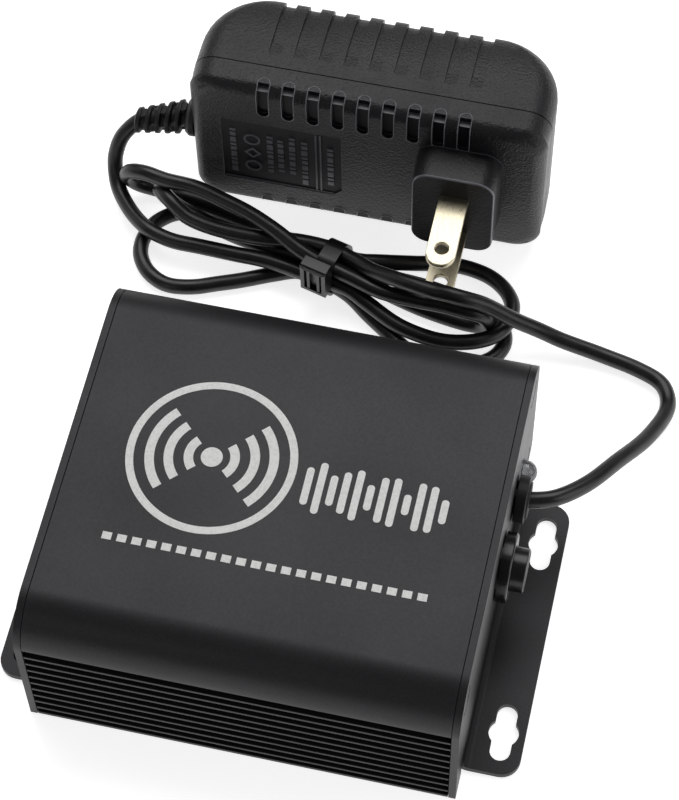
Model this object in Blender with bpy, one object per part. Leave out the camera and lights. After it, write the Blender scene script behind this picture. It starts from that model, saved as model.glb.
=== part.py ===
"""Ultrasonic pest repeller: finned aluminium box, wall adapter and a tied cord.

Frame: +X along the fins, +Y from the box toward the wall adapter, +Z up.
The origin is the middle of the box's footprint, on the surface it stands on.
"""
import math

import bmesh
import bpy
from mathutils import Matrix, Vector

MM = 0.001
GAP = 0.3 * MM

# Finned box
CASE_X = -1.1 * MM
CASE_OVERALL = 88.6 * MM
CASE_DEPTH = 83.4 * MM
CASE_HEIGHT = 39.8 * MM
EDGE_RADIUS = 9.6 * MM
SHEET = 1.5 * MM
WALL = 2.0 * MM
FIN_PITCH = 3.0 * MM
FIN_TIP = 0.8 * MM
FIN_DEPTH = 2.0 * MM
FIN_COUNT = 9
FIN_TOP = 30.2 * MM
BOSS = (34.6 * MM, 5.0 * MM, 33.2 * MM)
BOSS_HOLE = 1.7 * MM

# End plates with their bent feet
BEND_RADIUS = 1.5 * MM
FOOT_FRONT = -35.3 * MM
FOOT_BACK = 27.2 * MM
FOOT_END = 54.5 * MM
FOOT_CORNER = 4.0 * MM
RELIEF = 0.8 * MM
KEYHOLE_Y = (-26.1 * MM, 17.7 * MM)
KEYHOLE_X = 50.0 * MM
KEYHOLE_WIDE = 3.1 * MM
KEYHOLE_LOBE = 2.1 * MM
KEYHOLE_HALF = 6.25 * MM

# Controls on the right end: (y, z) of each centre
SWITCH_YZ = (1.45 * MM, 20.0 * MM)
GROMMET_YZ = (17.4 * MM, 20.0 * MM)
LED_YZ = (25.9 * MM, 16.0 * MM)
SWITCH_FLANGE = 7.3 * MM
SWITCH_BARREL = 6.0 * MM
SWITCH_CAP = 4.6 * MM
CAP_PROUD = 2.85 * MM
SWITCH_BORE_DEEP = 9.0 * MM
SWITCH_TRAVEL = 2.2 * MM
SPRING_TURNS = 5
SPRING_RADIUS = 3.2 * MM
SPRING_WIRE = 0.25 * MM
FLANGE_THICK = 2.3 * MM
GROMMET_RADIUS = 5.0 * MM
GROMMET_NECK = 3.7 * MM
LED_RADIUS = 2.5 * MM

# Tweeters behind the left end
TWEETER_Y = 19.5 * MM
TWEETER_Z = 19.6 * MM
TWEETER_RADIUS = 14.0 * MM
TWEETER_MOUTH = 12.0 * MM

# Wall adapter
ADAPTER_X = (-43.45 * MM, 35.35 * MM)
ADAPTER_FACE = 89.8 * MM
ADAPTER_SEAM = 96.7 * MM
ADAPTER_BACK = 117.0 * MM
ADAPTER_HEIGHT = 43.3 * MM
ADAPTER_WALL = 2.0 * MM
SLOT_COUNT = 9
SLOT_PITCH = 5.5 * MM
SLOT_FIRST = -26.7 * MM
SLOT_HALF = 1.3 * MM
SLOT_DEEP = 1.3 * MM
BLOCK_X = (7.9 * MM, 25.9 * MM)
BLOCK_Z = (9.0 * MM, 34.6 * MM)
BLOCK_FRONT = 81.8 * MM
BLADE_X = 17.2 * MM
BLADE_Z = (14.8 * MM, 27.5 * MM)
BLADE_WIDTH = 6.35 * MM
BLADE_THICK = 1.5 * MM
BLADE_TIP = 64.1 * MM
BLADE_HOLE_Y = 68.6 * MM
BLADE_HOLE = 1.6 * MM
BOOT_START = (-43.75 * MM, 96.7 * MM, 20.0 * MM)
BOOT_END = (-57.5 * MM, 94.6 * MM, 17.0 * MM)
BOOT_FLANGE = 4.35
BOOT_CORE = 2.7
BOOT_RIBS = 6
BOOT_RIB_FIRST = 3.6
BOOT_RIB_LAST = 2.75
BOOT_RIB_DEEP = 0.7

# Cord
CORD_RADIUS = 1.75 * MM
HANK_TOP = 11.0 * MM
TIE_X = (-11.2 * MM, -6.8 * MM)
TIE_YZ = (73.6 * MM, 5.9 * MM)

ROUND = 24
SIDEWAYS = (math.pi / 2, 0, math.pi / 2)
ALONG_X = (0, math.pi / 2, 0)
ALONG_Y = (-math.pi / 2, 0, 0)


def clear_scene():
    for obj in list(bpy.data.objects):
        bpy.data.objects.remove(obj, do_unlink=True)


def material(name, rgb, metallic, roughness):
    mat = bpy.data.materials.new(name)
    mat.use_nodes = True
    shader = mat.node_tree.nodes["Principled BSDF"]
    shader.inputs["Base Color"].default_value = (*rgb, 1.0)
    shader.inputs["Metallic"].default_value = metallic
    shader.inputs["Roughness"].default_value = roughness
    return mat


def add_object(name, bm, mat, location=(0, 0, 0), rotation=(0, 0, 0), smooth=False):
    bmesh.ops.recalc_face_normals(bm, faces=bm.faces)
    mesh = bpy.data.meshes.new(name)
    bm.to_mesh(mesh)
    bm.free()
    for polygon in mesh.polygons:
        polygon.use_smooth = smooth
    mesh.materials.append(mat)
    obj = bpy.data.objects.new(name, mesh)
    obj.location = location
    obj.rotation_euler = rotation
    bpy.context.collection.objects.link(obj)
    return obj


def copy_object(source, name, location, rotation):
    obj = bpy.data.objects.new(name, source.data)
    obj.location = location
    obj.rotation_euler = rotation
    bpy.context.collection.objects.link(obj)
    return obj


def cut(target, cutter, operation="DIFFERENCE"):
    cutter.hide_render = True
    cutter.display_type = "WIRE"
    mod = target.modifiers.new(cutter.name, "BOOLEAN")
    mod.operation = operation
    mod.solver = "EXACT"
    mod.object = cutter


def arc(cx, cy, radius, start, end, steps):
    points = []
    for i in range(steps + 1):
        angle = math.radians(start + (end - start) * i / steps)
        points.append((cx + radius * math.cos(angle), cy + radius * math.sin(angle)))
    return points


def circle(cx, cy, radius, steps=ROUND):
    return arc(cx, cy, radius, 0, 360, steps)[:-1]


def rounded(x0, x1, y0, y1, radius, steps=4):
    points = arc(x1 - radius, y0 + radius, radius, -90, 0, steps)
    points += arc(x1 - radius, y1 - radius, radius, 0, 90, steps)
    points += arc(x0 + radius, y1 - radius, radius, 90, 180, steps)
    points += arc(x0 + radius, y0 + radius, radius, 180, 270, steps)
    return points


def prism(outline, depth, holes=(), bm=None, base=0.0):
    """A flat shape with holes in local XY, standing on local Z = base."""
    bm = bm or bmesh.new()
    edges = []
    for loop in (outline, *holes):
        verts = [bm.verts.new((x, y, base)) for x, y in loop]
        edges += [bm.edges.new((verts[i - 1], verts[i])) for i in range(len(verts))]
    filled = bmesh.ops.triangle_fill(bm, use_beauty=True, edges=edges)
    faces = [item for item in filled["geom"] if isinstance(item, bmesh.types.BMFace)]
    grown = bmesh.ops.extrude_face_region(bm, geom=faces)
    top = [item for item in grown["geom"] if isinstance(item, bmesh.types.BMVert)]
    bmesh.ops.translate(bm, verts=top, vec=(0, 0, depth))
    return bm


def box(x0, x1, y0, y1, z0, z1, bm=None):
    bm = bm or bmesh.new()
    middle = Matrix.Translation(((x0 + x1) / 2, (y0 + y1) / 2, (z0 + z1) / 2))
    size = Matrix.Diagonal((x1 - x0, y1 - y0, z1 - z0, 1))
    bmesh.ops.create_cube(bm, size=1, matrix=middle @ size)
    return bm


def skin(rings, closed=False, bm=None):
    """Join rings of points into one closed body, with flat ends unless closed."""
    bm = bm or bmesh.new()
    loops = [[bm.verts.new(point) for point in ring] for ring in rings]
    count = len(loops[0])
    pairs = list(zip(loops, loops[1:]))
    if closed:
        pairs.append((loops[-1], loops[0]))
    for low, high in pairs:
        for i in range(count):
            bm.faces.new((low[i - 1], low[i], high[i], high[i - 1]))
    if not closed:
        bm.faces.new(loops[0])
        bm.faces.new(loops[-1])
    return bm


def lathe(profile, steps=ROUND, closed=False, bm=None):
    """Turn (radius, height) points round local Z."""
    rings = []
    for radius, height in profile:
        rings.append([(x, y, height) for x, y in circle(0, 0, radius, steps)])
    return skin(rings, closed, bm)


def sweep(points, radii, sides):
    """A round bar of changing radius along a path."""
    path = [Vector(point) for point in points]
    rings = []
    side = None
    for i, point in enumerate(path):
        ahead = path[min(i + 1, len(path) - 1)] - path[max(i - 1, 0)]
        ahead.normalize()
        side = side or ahead.orthogonal()
        side = (side - ahead * side.dot(ahead)).normalized()
        other = ahead.cross(side)
        ring = []
        for x, y in circle(0, 0, radii[i], sides):
            ring.append(point + side * x + other * y)
        rings.append(ring)
    return skin(rings)


def smooth_path(route, step):
    """Points every step along a smooth curve through the route."""
    knots = [Vector(point) for point in route]
    knots = [2 * knots[0] - knots[1], *knots, 2 * knots[-1] - knots[-2]]
    fine = []
    for a, b, c, d in zip(knots, knots[1:], knots[2:], knots[3:]):
        for i in range(20):
            t = i / 20
            fine.append(
                0.5 * (2 * b + (c - a) * t + (2 * a - 5 * b + 4 * c - d) * t * t
                       + (3 * b - a - 3 * c + d) * t ** 3)
            )
    fine.append(knots[-2])
    length = sum((q - p).length for p, q in zip(fine, fine[1:]))
    count = max(2, round(length / step))
    points = [fine[0]]
    travelled = 0.0
    for p, q in zip(fine, fine[1:]):
        travelled += (q - p).length
        if travelled >= len(points) * length / count and len(points) < count:
            points.append(q)
    points.append(fine[-1])
    return points


def cord(name, route, mat):
    data = bpy.data.curves.new(name, "CURVE")
    data.dimensions = "3D"
    data.bevel_depth = CORD_RADIUS
    data.bevel_resolution = 2
    data.use_fill_caps = True
    points = smooth_path(route, 2.4 * CORD_RADIUS)
    spline = data.splines.new("POLY")
    spline.points.add(len(points) - 1)
    for slot, point in zip(spline.points, points):
        slot.co = (*point, 1)
    data.materials.append(mat)
    obj = bpy.data.objects.new(name, data)
    bpy.context.collection.objects.link(obj)


# ---------------------------------------------------------------- finned box
def case_outline():
    """Right half from the bottom up, then mirrored: rounded top, finned sides."""
    half = CASE_DEPTH / 2
    root = half - FIN_DEPTH
    side = [(root, 0.0), (half, 0.9 * MM), (half, 1.0 * MM), (root, 1.0 * MM)]
    for i in range(FIN_COUNT, 0, -1):
        middle = FIN_TOP - i * FIN_PITCH
        low = middle - FIN_TIP / 2
        high = middle + FIN_TIP / 2
        side += [(root, low), (half, low), (half, high), (root, high)]
    side.append((root, FIN_TOP))
    side += arc(half - EDGE_RADIUS, CASE_HEIGHT - EDGE_RADIUS, EDGE_RADIUS, 0, 90, 10)
    return side + [(-y, z) for y, z in reversed(side)]


def cavity_outline():
    """Inside of the case, stepped round the screw bosses and the board's ledges."""
    wall = CASE_DEPTH / 2 - FIN_DEPTH - WALL
    roof = CASE_HEIGHT - WALL
    side = [
        (31.0 * MM, WALL),
        (31.0 * MM, 6.0 * MM),
        (33.2 * MM, 8.2 * MM),
        (wall, 8.2 * MM),
        (wall, 10.5 * MM),
        (35.2 * MM, 10.5 * MM),
        (35.2 * MM, 11.7 * MM),
        (wall, 11.7 * MM),
        (wall, 30.2 * MM),
        (33.2 * MM, 30.2 * MM),
        (31.0 * MM, 32.4 * MM),
        (31.0 * MM, roof),
    ]
    return side + [(-y, z) for y, z in reversed(side)]


def boss_centres():
    reach, low, high = BOSS
    return [(y, z) for y in (-reach, reach) for z in (low, high)]


def finned_case(mat):
    length = CASE_OVERALL - 2 * (SHEET + GAP)
    holes = [cavity_outline()]
    holes += [circle(y, z, BOSS_HOLE, 12) for y, z in boss_centres()]
    bm = prism(case_outline(), length, holes)
    add_object("finned_case", bm, mat, (CASE_X - length / 2, 0, 0), SIDEWAYS)


def keyhole(x, y):
    """Large round middle with a smaller round lobe at each end."""
    reach = KEYHOLE_HALF - KEYHOLE_LOBE
    meet = math.degrees(math.asin(KEYHOLE_LOBE / KEYHOLE_WIDE)) + 4
    points = arc(x, y, KEYHOLE_WIDE, meet - 90, 90 - meet, 6)
    points += arc(x, y + reach, KEYHOLE_LOBE, 0, 180, 8)
    points += arc(x, y, KEYHOLE_WIDE, 90 + meet, 270 - meet, 6)
    points += arc(x, y - reach, KEYHOLE_LOBE, 180, 360, 8)
    return points


def end_plate(name, mat, face_x, foot_length, holes):
    """A flat blank in (y, along-sheet) whose foot is then bent outward.

    Local +X points away from the box; face_x is where the outer face stands.
    """
    half = CASE_DEPTH / 2
    neutral = BEND_RADIUS + SHEET / 2
    curl = neutral * math.pi / 2
    flat = foot_length - BEND_RADIUS
    rise = SHEET + BEND_RADIUS
    upright = flat + curl - rise
    notch = upright + rise + 0.3 * MM
    outline = arc(FOOT_BACK - FOOT_CORNER, FOOT_CORNER, FOOT_CORNER, -90, 0, 6)
    outline += [(FOOT_BACK, notch), (FOOT_BACK + RELIEF, notch)]
    outline += [(FOOT_BACK + RELIEF, upright), (half, upright)]
    top = upright + CASE_HEIGHT - EDGE_RADIUS
    outline += arc(half - EDGE_RADIUS, top, EDGE_RADIUS, 0, 90, 10)
    outline += arc(EDGE_RADIUS - half, top, EDGE_RADIUS, 90, 180, 10)
    outline += [(-half, upright), (FOOT_FRONT - RELIEF, upright)]
    outline += [(FOOT_FRONT - RELIEF, notch), (FOOT_FRONT, notch)]
    outline += arc(FOOT_FRONT + FOOT_CORNER, FOOT_CORNER, FOOT_CORNER, 180, 270, 6)

    reach = FOOT_END - KEYHOLE_X
    cuts = [[(a, b) for b, a in keyhole(reach, y)] for y in KEYHOLE_Y]
    cuts += [circle(y, z + upright, radius) for y, z, radius in holes]
    cuts += [circle(y, z + upright, 1.7 * MM, 16) for y, z in boss_centres()]
    bm = prism(outline, SHEET, cuts)
    for i in range(7):
        everything = bm.verts[:] + bm.edges[:] + bm.faces[:]
        line = (0, flat + curl * i / 6, 0)
        bmesh.ops.bisect_plane(bm, geom=everything, plane_co=line, plane_no=(0, 1, 0))
    for vert in bm.verts:
        across, along, depth = vert.co
        past = along - flat
        in_foot = FOOT_FRONT - GAP < across < FOOT_BACK + GAP
        if past > curl or not in_foot:
            vert.co = (depth - SHEET, across, rise + past - curl)
        elif past > 0:
            turn = past / neutral
            reach = BEND_RADIUS + SHEET - depth
            x = BEND_RADIUS - reach * math.sin(turn)
            vert.co = (x, across, rise - reach * math.cos(turn))
        else:
            vert.co = (BEND_RADIUS - past, across, depth)
    return add_object(name, bm, mat, (face_x, 0, 0))


def countersink(plate, name, side):
    """Cone the screw holes; side is +1 for the right plate and -1 for the left."""
    bm = bmesh.new()
    profile = [(1.5 * MM, -1.9 * MM), (3.1 * MM, -0.3 * MM), (3.1 * MM, 1.0 * MM)]
    for y, z in boss_centres():
        known = len(bm.verts)
        lathe(profile, 16, bm=bm)
        bm.verts.ensure_lookup_table()
        turn = Matrix.Translation((0, y, z)) @ Matrix.Rotation(side * math.pi / 2, 4, "Y")
        bmesh.ops.transform(bm, matrix=turn, verts=bm.verts[known:])
    cut(plate, add_object(name, bm, plate.data.materials[0], plate.location))


def end_plates(mat):
    half = CASE_OVERALL / 2
    right = CASE_X + half
    left = CASE_X - half
    controls = [
        (*SWITCH_YZ, SWITCH_BARREL + GAP),
        (*GROMMET_YZ, GROMMET_NECK + GAP),
        (*LED_YZ, LED_RADIUS + GAP),
    ]
    plate = end_plate("right_end_plate", mat, right, FOOT_END - right, controls)
    countersink(plate, "right_countersinks", 1)
    mouths = [(y, TWEETER_Z, TWEETER_MOUTH) for y in (-TWEETER_Y, TWEETER_Y)]
    plate = end_plate("left_end_plate", mat, left, FOOT_END + left, mouths)
    for vert in plate.data.vertices:
        vert.co.x = -vert.co.x
    plate.data.flip_normals()
    countersink(plate, "left_countersinks", -1)
    return right, left


def screws(mat, right, left):
    """Countersunk cross-head screws, flush in the end plates."""
    shank = 1.35 * MM
    head = 2.75 * MM
    profile = [(0.3 * MM, -9.0 * MM), (shank, -8.6 * MM), (shank, -1.75 * MM)]
    profile += [(head, -0.35 * MM), (head, -0.05 * MM)]
    first = None
    for side, face in (("right", right), ("left", left)):
        for y, z in boss_centres():
            place = "back" if y > 0 else "front"
            level = "upper" if z > CASE_HEIGHT / 2 else "lower"
            name = f"{side}_{place}_{level}_screw"
            turn = ALONG_X if side == "right" else (0, -math.pi / 2, 0)
            if first is None:
                first = add_object(name, lathe(profile, 12), mat, (face, y, z), turn)
            else:
                copy_object(first, name, (face, y, z), turn)


# ------------------------------------------------------- parts on the right end
def switch(mats, right):
    y, z = SWITCH_YZ
    flange = FLANGE_THICK
    floor = -SWITCH_BORE_DEEP
    lip = SWITCH_CAP + 0.25 * MM
    bore = SWITCH_CAP + 0.7 * MM
    profile = [
        (SWITCH_FLANGE - 0.4 * MM, flange),
        (SWITCH_FLANGE, flange - 0.5 * MM),
        (SWITCH_FLANGE, 0.0),
        (SWITCH_BARREL, 0.0),
        (SWITCH_BARREL, floor - 1.3 * MM),
        (3.0 * MM, floor - 1.3 * MM),
        (3.0 * MM, floor),
        (bore, floor),
        (bore, -0.5 * MM),
        (lip, -0.5 * MM),
        (lip, flange),
    ]
    bm = lathe(profile, 28, closed=True)
    start = right + GAP
    add_object("switch_barrel", bm, mats["black_plastic"], (start, y, z), ALONG_X)

    outline = circle(0, 0, 8.0 * MM, 6)
    bm = prism(outline, 2.4 * MM, [circle(0, 0, SWITCH_BARREL + GAP)])
    nut_x = right - SHEET - GAP - 2.4 * MM
    add_object("switch_nut", bm, mats["nickel"], (nut_x, y, z), ALONG_X)

    bm = box(-8.0 * MM, 0, -5.5 * MM, 5.5 * MM, -5.0 * MM, 5.0 * MM)
    block_x = start - 10.6 * MM
    add_object("switch_contact_block", bm, mats["black_plastic"], (block_x, y, z))
    for name, shift in (("switch_front_terminal", -3.0 * MM), ("switch_back_terminal", 3.0 * MM)):
        bm = box(-5.0 * MM, 0, -0.4 * MM, 0.4 * MM, -1.4 * MM, 1.4 * MM)
        add_object(name, bm, mats["nickel"], (block_x - 8.3 * MM, y + shift, z))

    shoulder = SWITCH_CAP + 0.45 * MM
    hollow = 3.9 * MM
    profile = [
        (hollow, -1.0 * MM),
        (hollow, -5.0 * MM),
        (shoulder, -5.0 * MM),
        (shoulder, -0.8 * MM),
        (SWITCH_CAP, -0.8 * MM),
        (SWITCH_CAP, flange + CAP_PROUD - 0.3 * MM),
        (SWITCH_CAP - 0.3 * MM, flange + CAP_PROUD),
    ]
    bm = lathe(profile, 28)
    add_object("switch_cap", bm, mats["gloss_plastic"], (start, y, z), ALONG_X)

    low = floor + 0.6 * MM
    high = -1.0 * MM - SWITCH_TRAVEL - 0.6 * MM
    steps = SPRING_TURNS * 12
    points = []
    for i in range(steps + 1):
        angle = i * math.pi / 6
        height = low + (high - low) * i / steps
        points.append((SPRING_RADIUS * math.cos(angle), SPRING_RADIUS * math.sin(angle), height))
    bm = sweep(points, [SPRING_WIRE] * len(points), 6)
    add_object("switch_spring", bm, mats["steel"], (start, y, z), ALONG_X)


def grommet_and_led(mats, right):
    y, z = GROMMET_YZ
    start = right + GAP
    bore = CORD_RADIUS + GAP
    inner = -(SHEET + 2 * GAP)
    profile = [
        (GROMMET_RADIUS - 0.5 * MM, FLANGE_THICK),
        (GROMMET_RADIUS, FLANGE_THICK - 0.5 * MM),
        (GROMMET_RADIUS, 0.0),
        (GROMMET_NECK, 0.0),
        (GROMMET_NECK, inner),
        (GROMMET_RADIUS, inner),
        (GROMMET_RADIUS - 0.6 * MM, inner - 1.6 * MM),
        (bore, inner - 1.6 * MM),
        (bore, FLANGE_THICK),
    ]
    bm = lathe(profile, 28, closed=True)
    add_object("cord_grommet", bm, mats["rubber"], (start, y, z), ALONG_X)

    tail = [(0, 0, 0), (-6.0 * MM, 0, 0), (-9.5 * MM, 0.3 * MM, -2.5 * MM),
            (-12.5 * MM, 1.0 * MM, -4.8 * MM)]
    points = smooth_path(tail, 1.5 * MM)
    bm = sweep(points, [1.6 * MM] * len(points), 10)
    add_object("inner_lead", bm, mats["rubber"], (start + FLANGE_THICK - 0.3 * MM, y, z))

    y, z = LED_YZ
    profile = [(2.9 * MM, -8.0 * MM), (2.9 * MM, -7.0 * MM), (LED_RADIUS, -7.0 * MM)]
    for i in range(7):
        turn = math.radians(88 * i / 6)
        height = 0.7 * MM + LED_RADIUS * math.sin(turn)
        profile.append((LED_RADIUS * math.cos(turn), height))
    add_object("status_led", lathe(profile, 20), mats["clear_plastic"], (right, y, z), ALONG_X)
    bm = box(-3.0 * MM, 0, -3.0 * MM, 3.0 * MM, 10.4 * MM - z, 2.9 * MM)
    add_object("led_holder", bm, mats["black_plastic"], (right - 8.3 * MM, y, z))


# ------------------------------------------------------------- inside the box
def circuit(mats):
    bm = box(-28.0 * MM, 32.0 * MM, -37.2 * MM, 37.2 * MM, 8.6 * MM, 10.1 * MM)
    add_object("circuit_board", bm, mats["board"])
    top = 10.4 * MM
    bm = box(-8.0 * MM, 8.0 * MM, -7.0 * MM, 7.0 * MM, 0, 14.0 * MM)
    add_object("step_up_transformer", bm, mats["ferrite"], (-8.0 * MM, -14.0 * MM, top))
    for name, radius, height, spot in (
        ("supply_capacitor", 5.0 * MM, 17.0 * MM, (-6.0 * MM, 16.0 * MM, top)),
        ("drive_capacitor", 3.2 * MM, 11.5 * MM, (8.0 * MM, 12.0 * MM, top)),
    ):
        profile = [(radius, 0), (radius, height - 0.5 * MM), (radius - 0.5 * MM, height)]
        add_object(name, lathe(profile, 20), mats["sleeve"], spot)
    bm = box(-4.8 * MM, 4.8 * MM, -3.2 * MM, 3.2 * MM, 0, 3.6 * MM)
    add_object("controller_chip", bm, mats["black_plastic"], (6.0 * MM, -6.0 * MM, top))
    bm = box(-5.0 * MM, 5.0 * MM, -2.2 * MM, 2.2 * MM, 0, 15.0 * MM)
    add_object("drive_transistor", bm, mats["black_plastic"], (-8.0 * MM, -28.0 * MM, top))
    bm = box(-3.2 * MM, 3.2 * MM, -3.0 * MM, 3.0 * MM, 0, 6.0 * MM)
    add_object("supply_connector", bm, mats["black_plastic"], (27.0 * MM, 24.0 * MM - 1.5 * MM, top))


def tweeters(mats, left):
    """Two piezo tweeters: grille, frame and cone, facing out through the left end."""
    inside = left + SHEET + GAP
    for place, y in (("front", -TWEETER_Y), ("back", TWEETER_Y)):
        spot = (inside, y, TWEETER_Z)
        holes = []
        for ring, count in ((0, 1), (3.6 * MM, 6), (7.2 * MM, 12)):
            for i in range(count):
                turn = 2 * math.pi * i / count
                x = ring * math.cos(turn)
                holes.append(circle(x, ring * math.sin(turn), 1.2 * MM, 8))
        bm = prism(circle(0, 0, TWEETER_RADIUS, 32), 0.8 * MM, holes)
        add_object(f"{place}_tweeter_grille", bm, mats["nickel"], spot, ALONG_X)

        profile = [
            (TWEETER_RADIUS, 0.0),
            (TWEETER_RADIUS, 3.0 * MM),
            (11.5 * MM, 4.0 * MM),
            (8.0 * MM, 11.0 * MM),
            (1.0 * MM, 11.0 * MM),
            (1.0 * MM, 9.6 * MM),
            (7.0 * MM, 9.6 * MM),
            (10.6 * MM, 2.8 * MM),
            (12.6 * MM, 2.0 * MM),
            (12.6 * MM, 0.0),
        ]
        bm = lathe(profile, 28, closed=True)
        spot = (inside + 0.8 * MM + GAP, y, TWEETER_Z)
        add_object(f"{place}_tweeter_frame", bm, mats["black_plastic"], spot, ALONG_X)

        profile = [
            (12.2 * MM, 0.6 * MM),
            (12.2 * MM, 1.5 * MM),
            (10.2 * MM, 2.2 * MM),
            (3.0 * MM, 8.6 * MM),
            (0.4 * MM, 8.6 * MM),
            (0.4 * MM, 7.8 * MM),
            (2.6 * MM, 7.8 * MM),
            (9.6 * MM, 1.5 * MM),
            (11.2 * MM, 0.6 * MM),
        ]
        bm = lathe(profile, 28, closed=True)
        add_object(f"{place}_tweeter_cone", bm, mats["cone"], spot, ALONG_X)


# -------------------------------------------------------------- wall adapter
def shell_ring(y, inset, radius):
    x0, x1 = ADAPTER_X
    radius = max(radius - inset, 0.5 * MM)
    corners = rounded(x0 + inset, x1 - inset, inset, ADAPTER_HEIGHT - inset, radius, 6)
    return [(x, y, z) for x, z in corners]


def half_shell(open_y, shut_y, edge, corner):
    """One half of the adapter: a tray with rounded edges, open at open_y."""
    way = 1 if shut_y > open_y else -1
    rings = [shell_ring(open_y, 0, corner)]
    for i in range(6):
        turn = math.radians(84 * i / 5)
        y = shut_y - way * edge * (1 - math.sin(turn))
        rings.append(shell_ring(y, edge * (1 - math.cos(turn)), corner))
    rings.append(shell_ring(shut_y, edge, corner))
    inner = shut_y - way * ADAPTER_WALL
    rings.append(shell_ring(inner, edge + 0.5 * MM, corner))
    rings.append(shell_ring(inner - way * (edge - 0.5 * MM), ADAPTER_WALL, corner))
    rings.append(shell_ring(open_y, ADAPTER_WALL, corner))
    bm = bmesh.new()
    loops = [[bm.verts.new(point) for point in ring] for ring in rings]
    shut = 7
    count = len(loops[0])
    for k, (low, high) in enumerate(zip(loops, [*loops[1:], loops[0]])):
        if k == shut:
            continue
        for i in range(count):
            bm.faces.new((low[i - 1], low[i], high[i], high[i - 1]))
    bm.faces.new(loops[shut])
    bm.faces.new(loops[shut + 1])
    return bm


def adapter(mats):
    plastic = mats["adapter_plastic"]
    front = add_object(
        "adapter_front_case",
        half_shell(ADAPTER_SEAM - GAP / 2, ADAPTER_FACE, 3.0 * MM, 5.5 * MM), plastic)
    rear = add_object(
        "adapter_rear_case",
        half_shell(ADAPTER_SEAM + GAP / 2, ADAPTER_BACK, 8.0 * MM, 5.5 * MM), plastic)

    bm = bmesh.new()
    for i in range(SLOT_COUNT):
        x = SLOT_FIRST + i * SLOT_PITCH
        for low, high in ((ADAPTER_HEIGHT - 9.0 * MM, ADAPTER_HEIGHT + 1.0 * MM),
                          (-1.0 * MM, 9.0 * MM)):
            box(x - SLOT_HALF, x + SLOT_HALF, ADAPTER_FACE - 1.0 * MM,
                ADAPTER_FACE + SLOT_DEEP, low, high, bm)
    cut(front, add_object("front_slots", bm, plastic))
    bm = box(-36.5 * MM, -9.5 * MM, ADAPTER_FACE - 1.0 * MM, ADAPTER_FACE + 0.4 * MM,
             9.0 * MM, 31.0 * MM)
    for z in BLADE_Z:
        box(BLADE_X - BLADE_WIDTH / 2 - GAP, BLADE_X + BLADE_WIDTH / 2 + GAP,
            ADAPTER_FACE - 1.0 * MM, ADAPTER_FACE + 5.0 * MM,
            z - BLADE_THICK / 2 - GAP, z + BLADE_THICK / 2 + GAP, bm)
    cut(front, add_object("label_recess", bm, plastic))

    bm = bmesh.new()
    for i in range(SLOT_COUNT):
        x = SLOT_FIRST + i * SLOT_PITCH
        for low, high in ((ADAPTER_HEIGHT - 0.8 * MM, ADAPTER_HEIGHT + 1.0 * MM),
                          (-1.0 * MM, 0.8 * MM)):
            box(x - SLOT_HALF, x + SLOT_HALF, ADAPTER_SEAM + 4.0 * MM,
                ADAPTER_BACK + 1.0 * MM, low, high, bm)
    cut(rear, add_object("rear_grooves", bm, plastic))

    x, y, z = BOOT_START
    bm = lathe([(3.3 * MM, -6.0 * MM), (3.3 * MM, 6.0 * MM)], 16)
    exit_hole = add_object("boot_hole", bm, plastic, (ADAPTER_X[0], y, z), ALONG_X)
    cut(front, exit_hole)
    cut(rear, exit_hole)

    width = BLOCK_X[1] - BLOCK_X[0]
    rings = []
    for y, inset, radius in ((ADAPTER_FACE - GAP, -0.6 * MM, 4.0 * MM),
                             (BLOCK_FRONT + 0.8 * MM, 0.0, 3.5 * MM),
                             (BLOCK_FRONT, 0.7 * MM, 3.0 * MM)):
        corners = rounded(BLOCK_X[0] + inset, BLOCK_X[0] + width - inset,
                          BLOCK_Z[0] + inset, BLOCK_Z[1] - inset, radius)
        rings.append([(x, y, z) for x, z in corners])
    block = add_object("prong_block", skin(rings), plastic)
    bm = bmesh.new()
    for z in BLADE_Z:
        box(BLADE_X - BLADE_WIDTH / 2 - GAP, BLADE_X + BLADE_WIDTH / 2 + GAP,
            BLOCK_FRONT - 1.0 * MM, ADAPTER_FACE + 1.0 * MM,
            z - BLADE_THICK / 2 - GAP, z + BLADE_THICK / 2 + GAP, bm)
    cut(block, add_object("blade_slots", bm, plastic))

    half = BLADE_WIDTH / 2
    outline = [(half, 94.0 * MM), (-half, 94.0 * MM)]
    tip = 3.0 * MM
    outline += arc(-half + tip, BLADE_TIP + tip, tip, 180, 270, 5)
    outline += arc(half - tip, BLADE_TIP + tip, tip, 270, 360, 5)
    bm = prism(outline, BLADE_THICK, [circle(0, BLADE_HOLE_Y, BLADE_HOLE, 16)])
    low = BLADE_THICK / 2
    blade = add_object("lower_blade", bm, mats["nickel"], (BLADE_X, 0, BLADE_Z[0] - low))
    copy_object(blade, "upper_blade", (BLADE_X, 0, BLADE_Z[1] - low), (0, 0, 0))

    bm = box(-36.0 * MM, 24.0 * MM, 99.0 * MM, 100.6 * MM, 5.0 * MM, 38.0 * MM)
    add_object("adapter_board", bm, mats["board"])
    bm = box(-9.0 * MM, 9.0 * MM, 0, 12.0 * MM, -8.0 * MM, 8.0 * MM)
    spot = (-6.0 * MM, 100.9 * MM, 21.0 * MM)
    add_object("adapter_transformer", bm, mats["ferrite"], spot)
    profile = [(5.0 * MM, 0), (5.0 * MM, 12.5 * MM), (4.5 * MM, 13.0 * MM)]
    spot = (14.0 * MM, 100.9 * MM, 21.0 * MM)
    add_object("adapter_capacitor", lathe(profile, 20), mats["sleeve"], spot, ALONG_Y)


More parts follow.
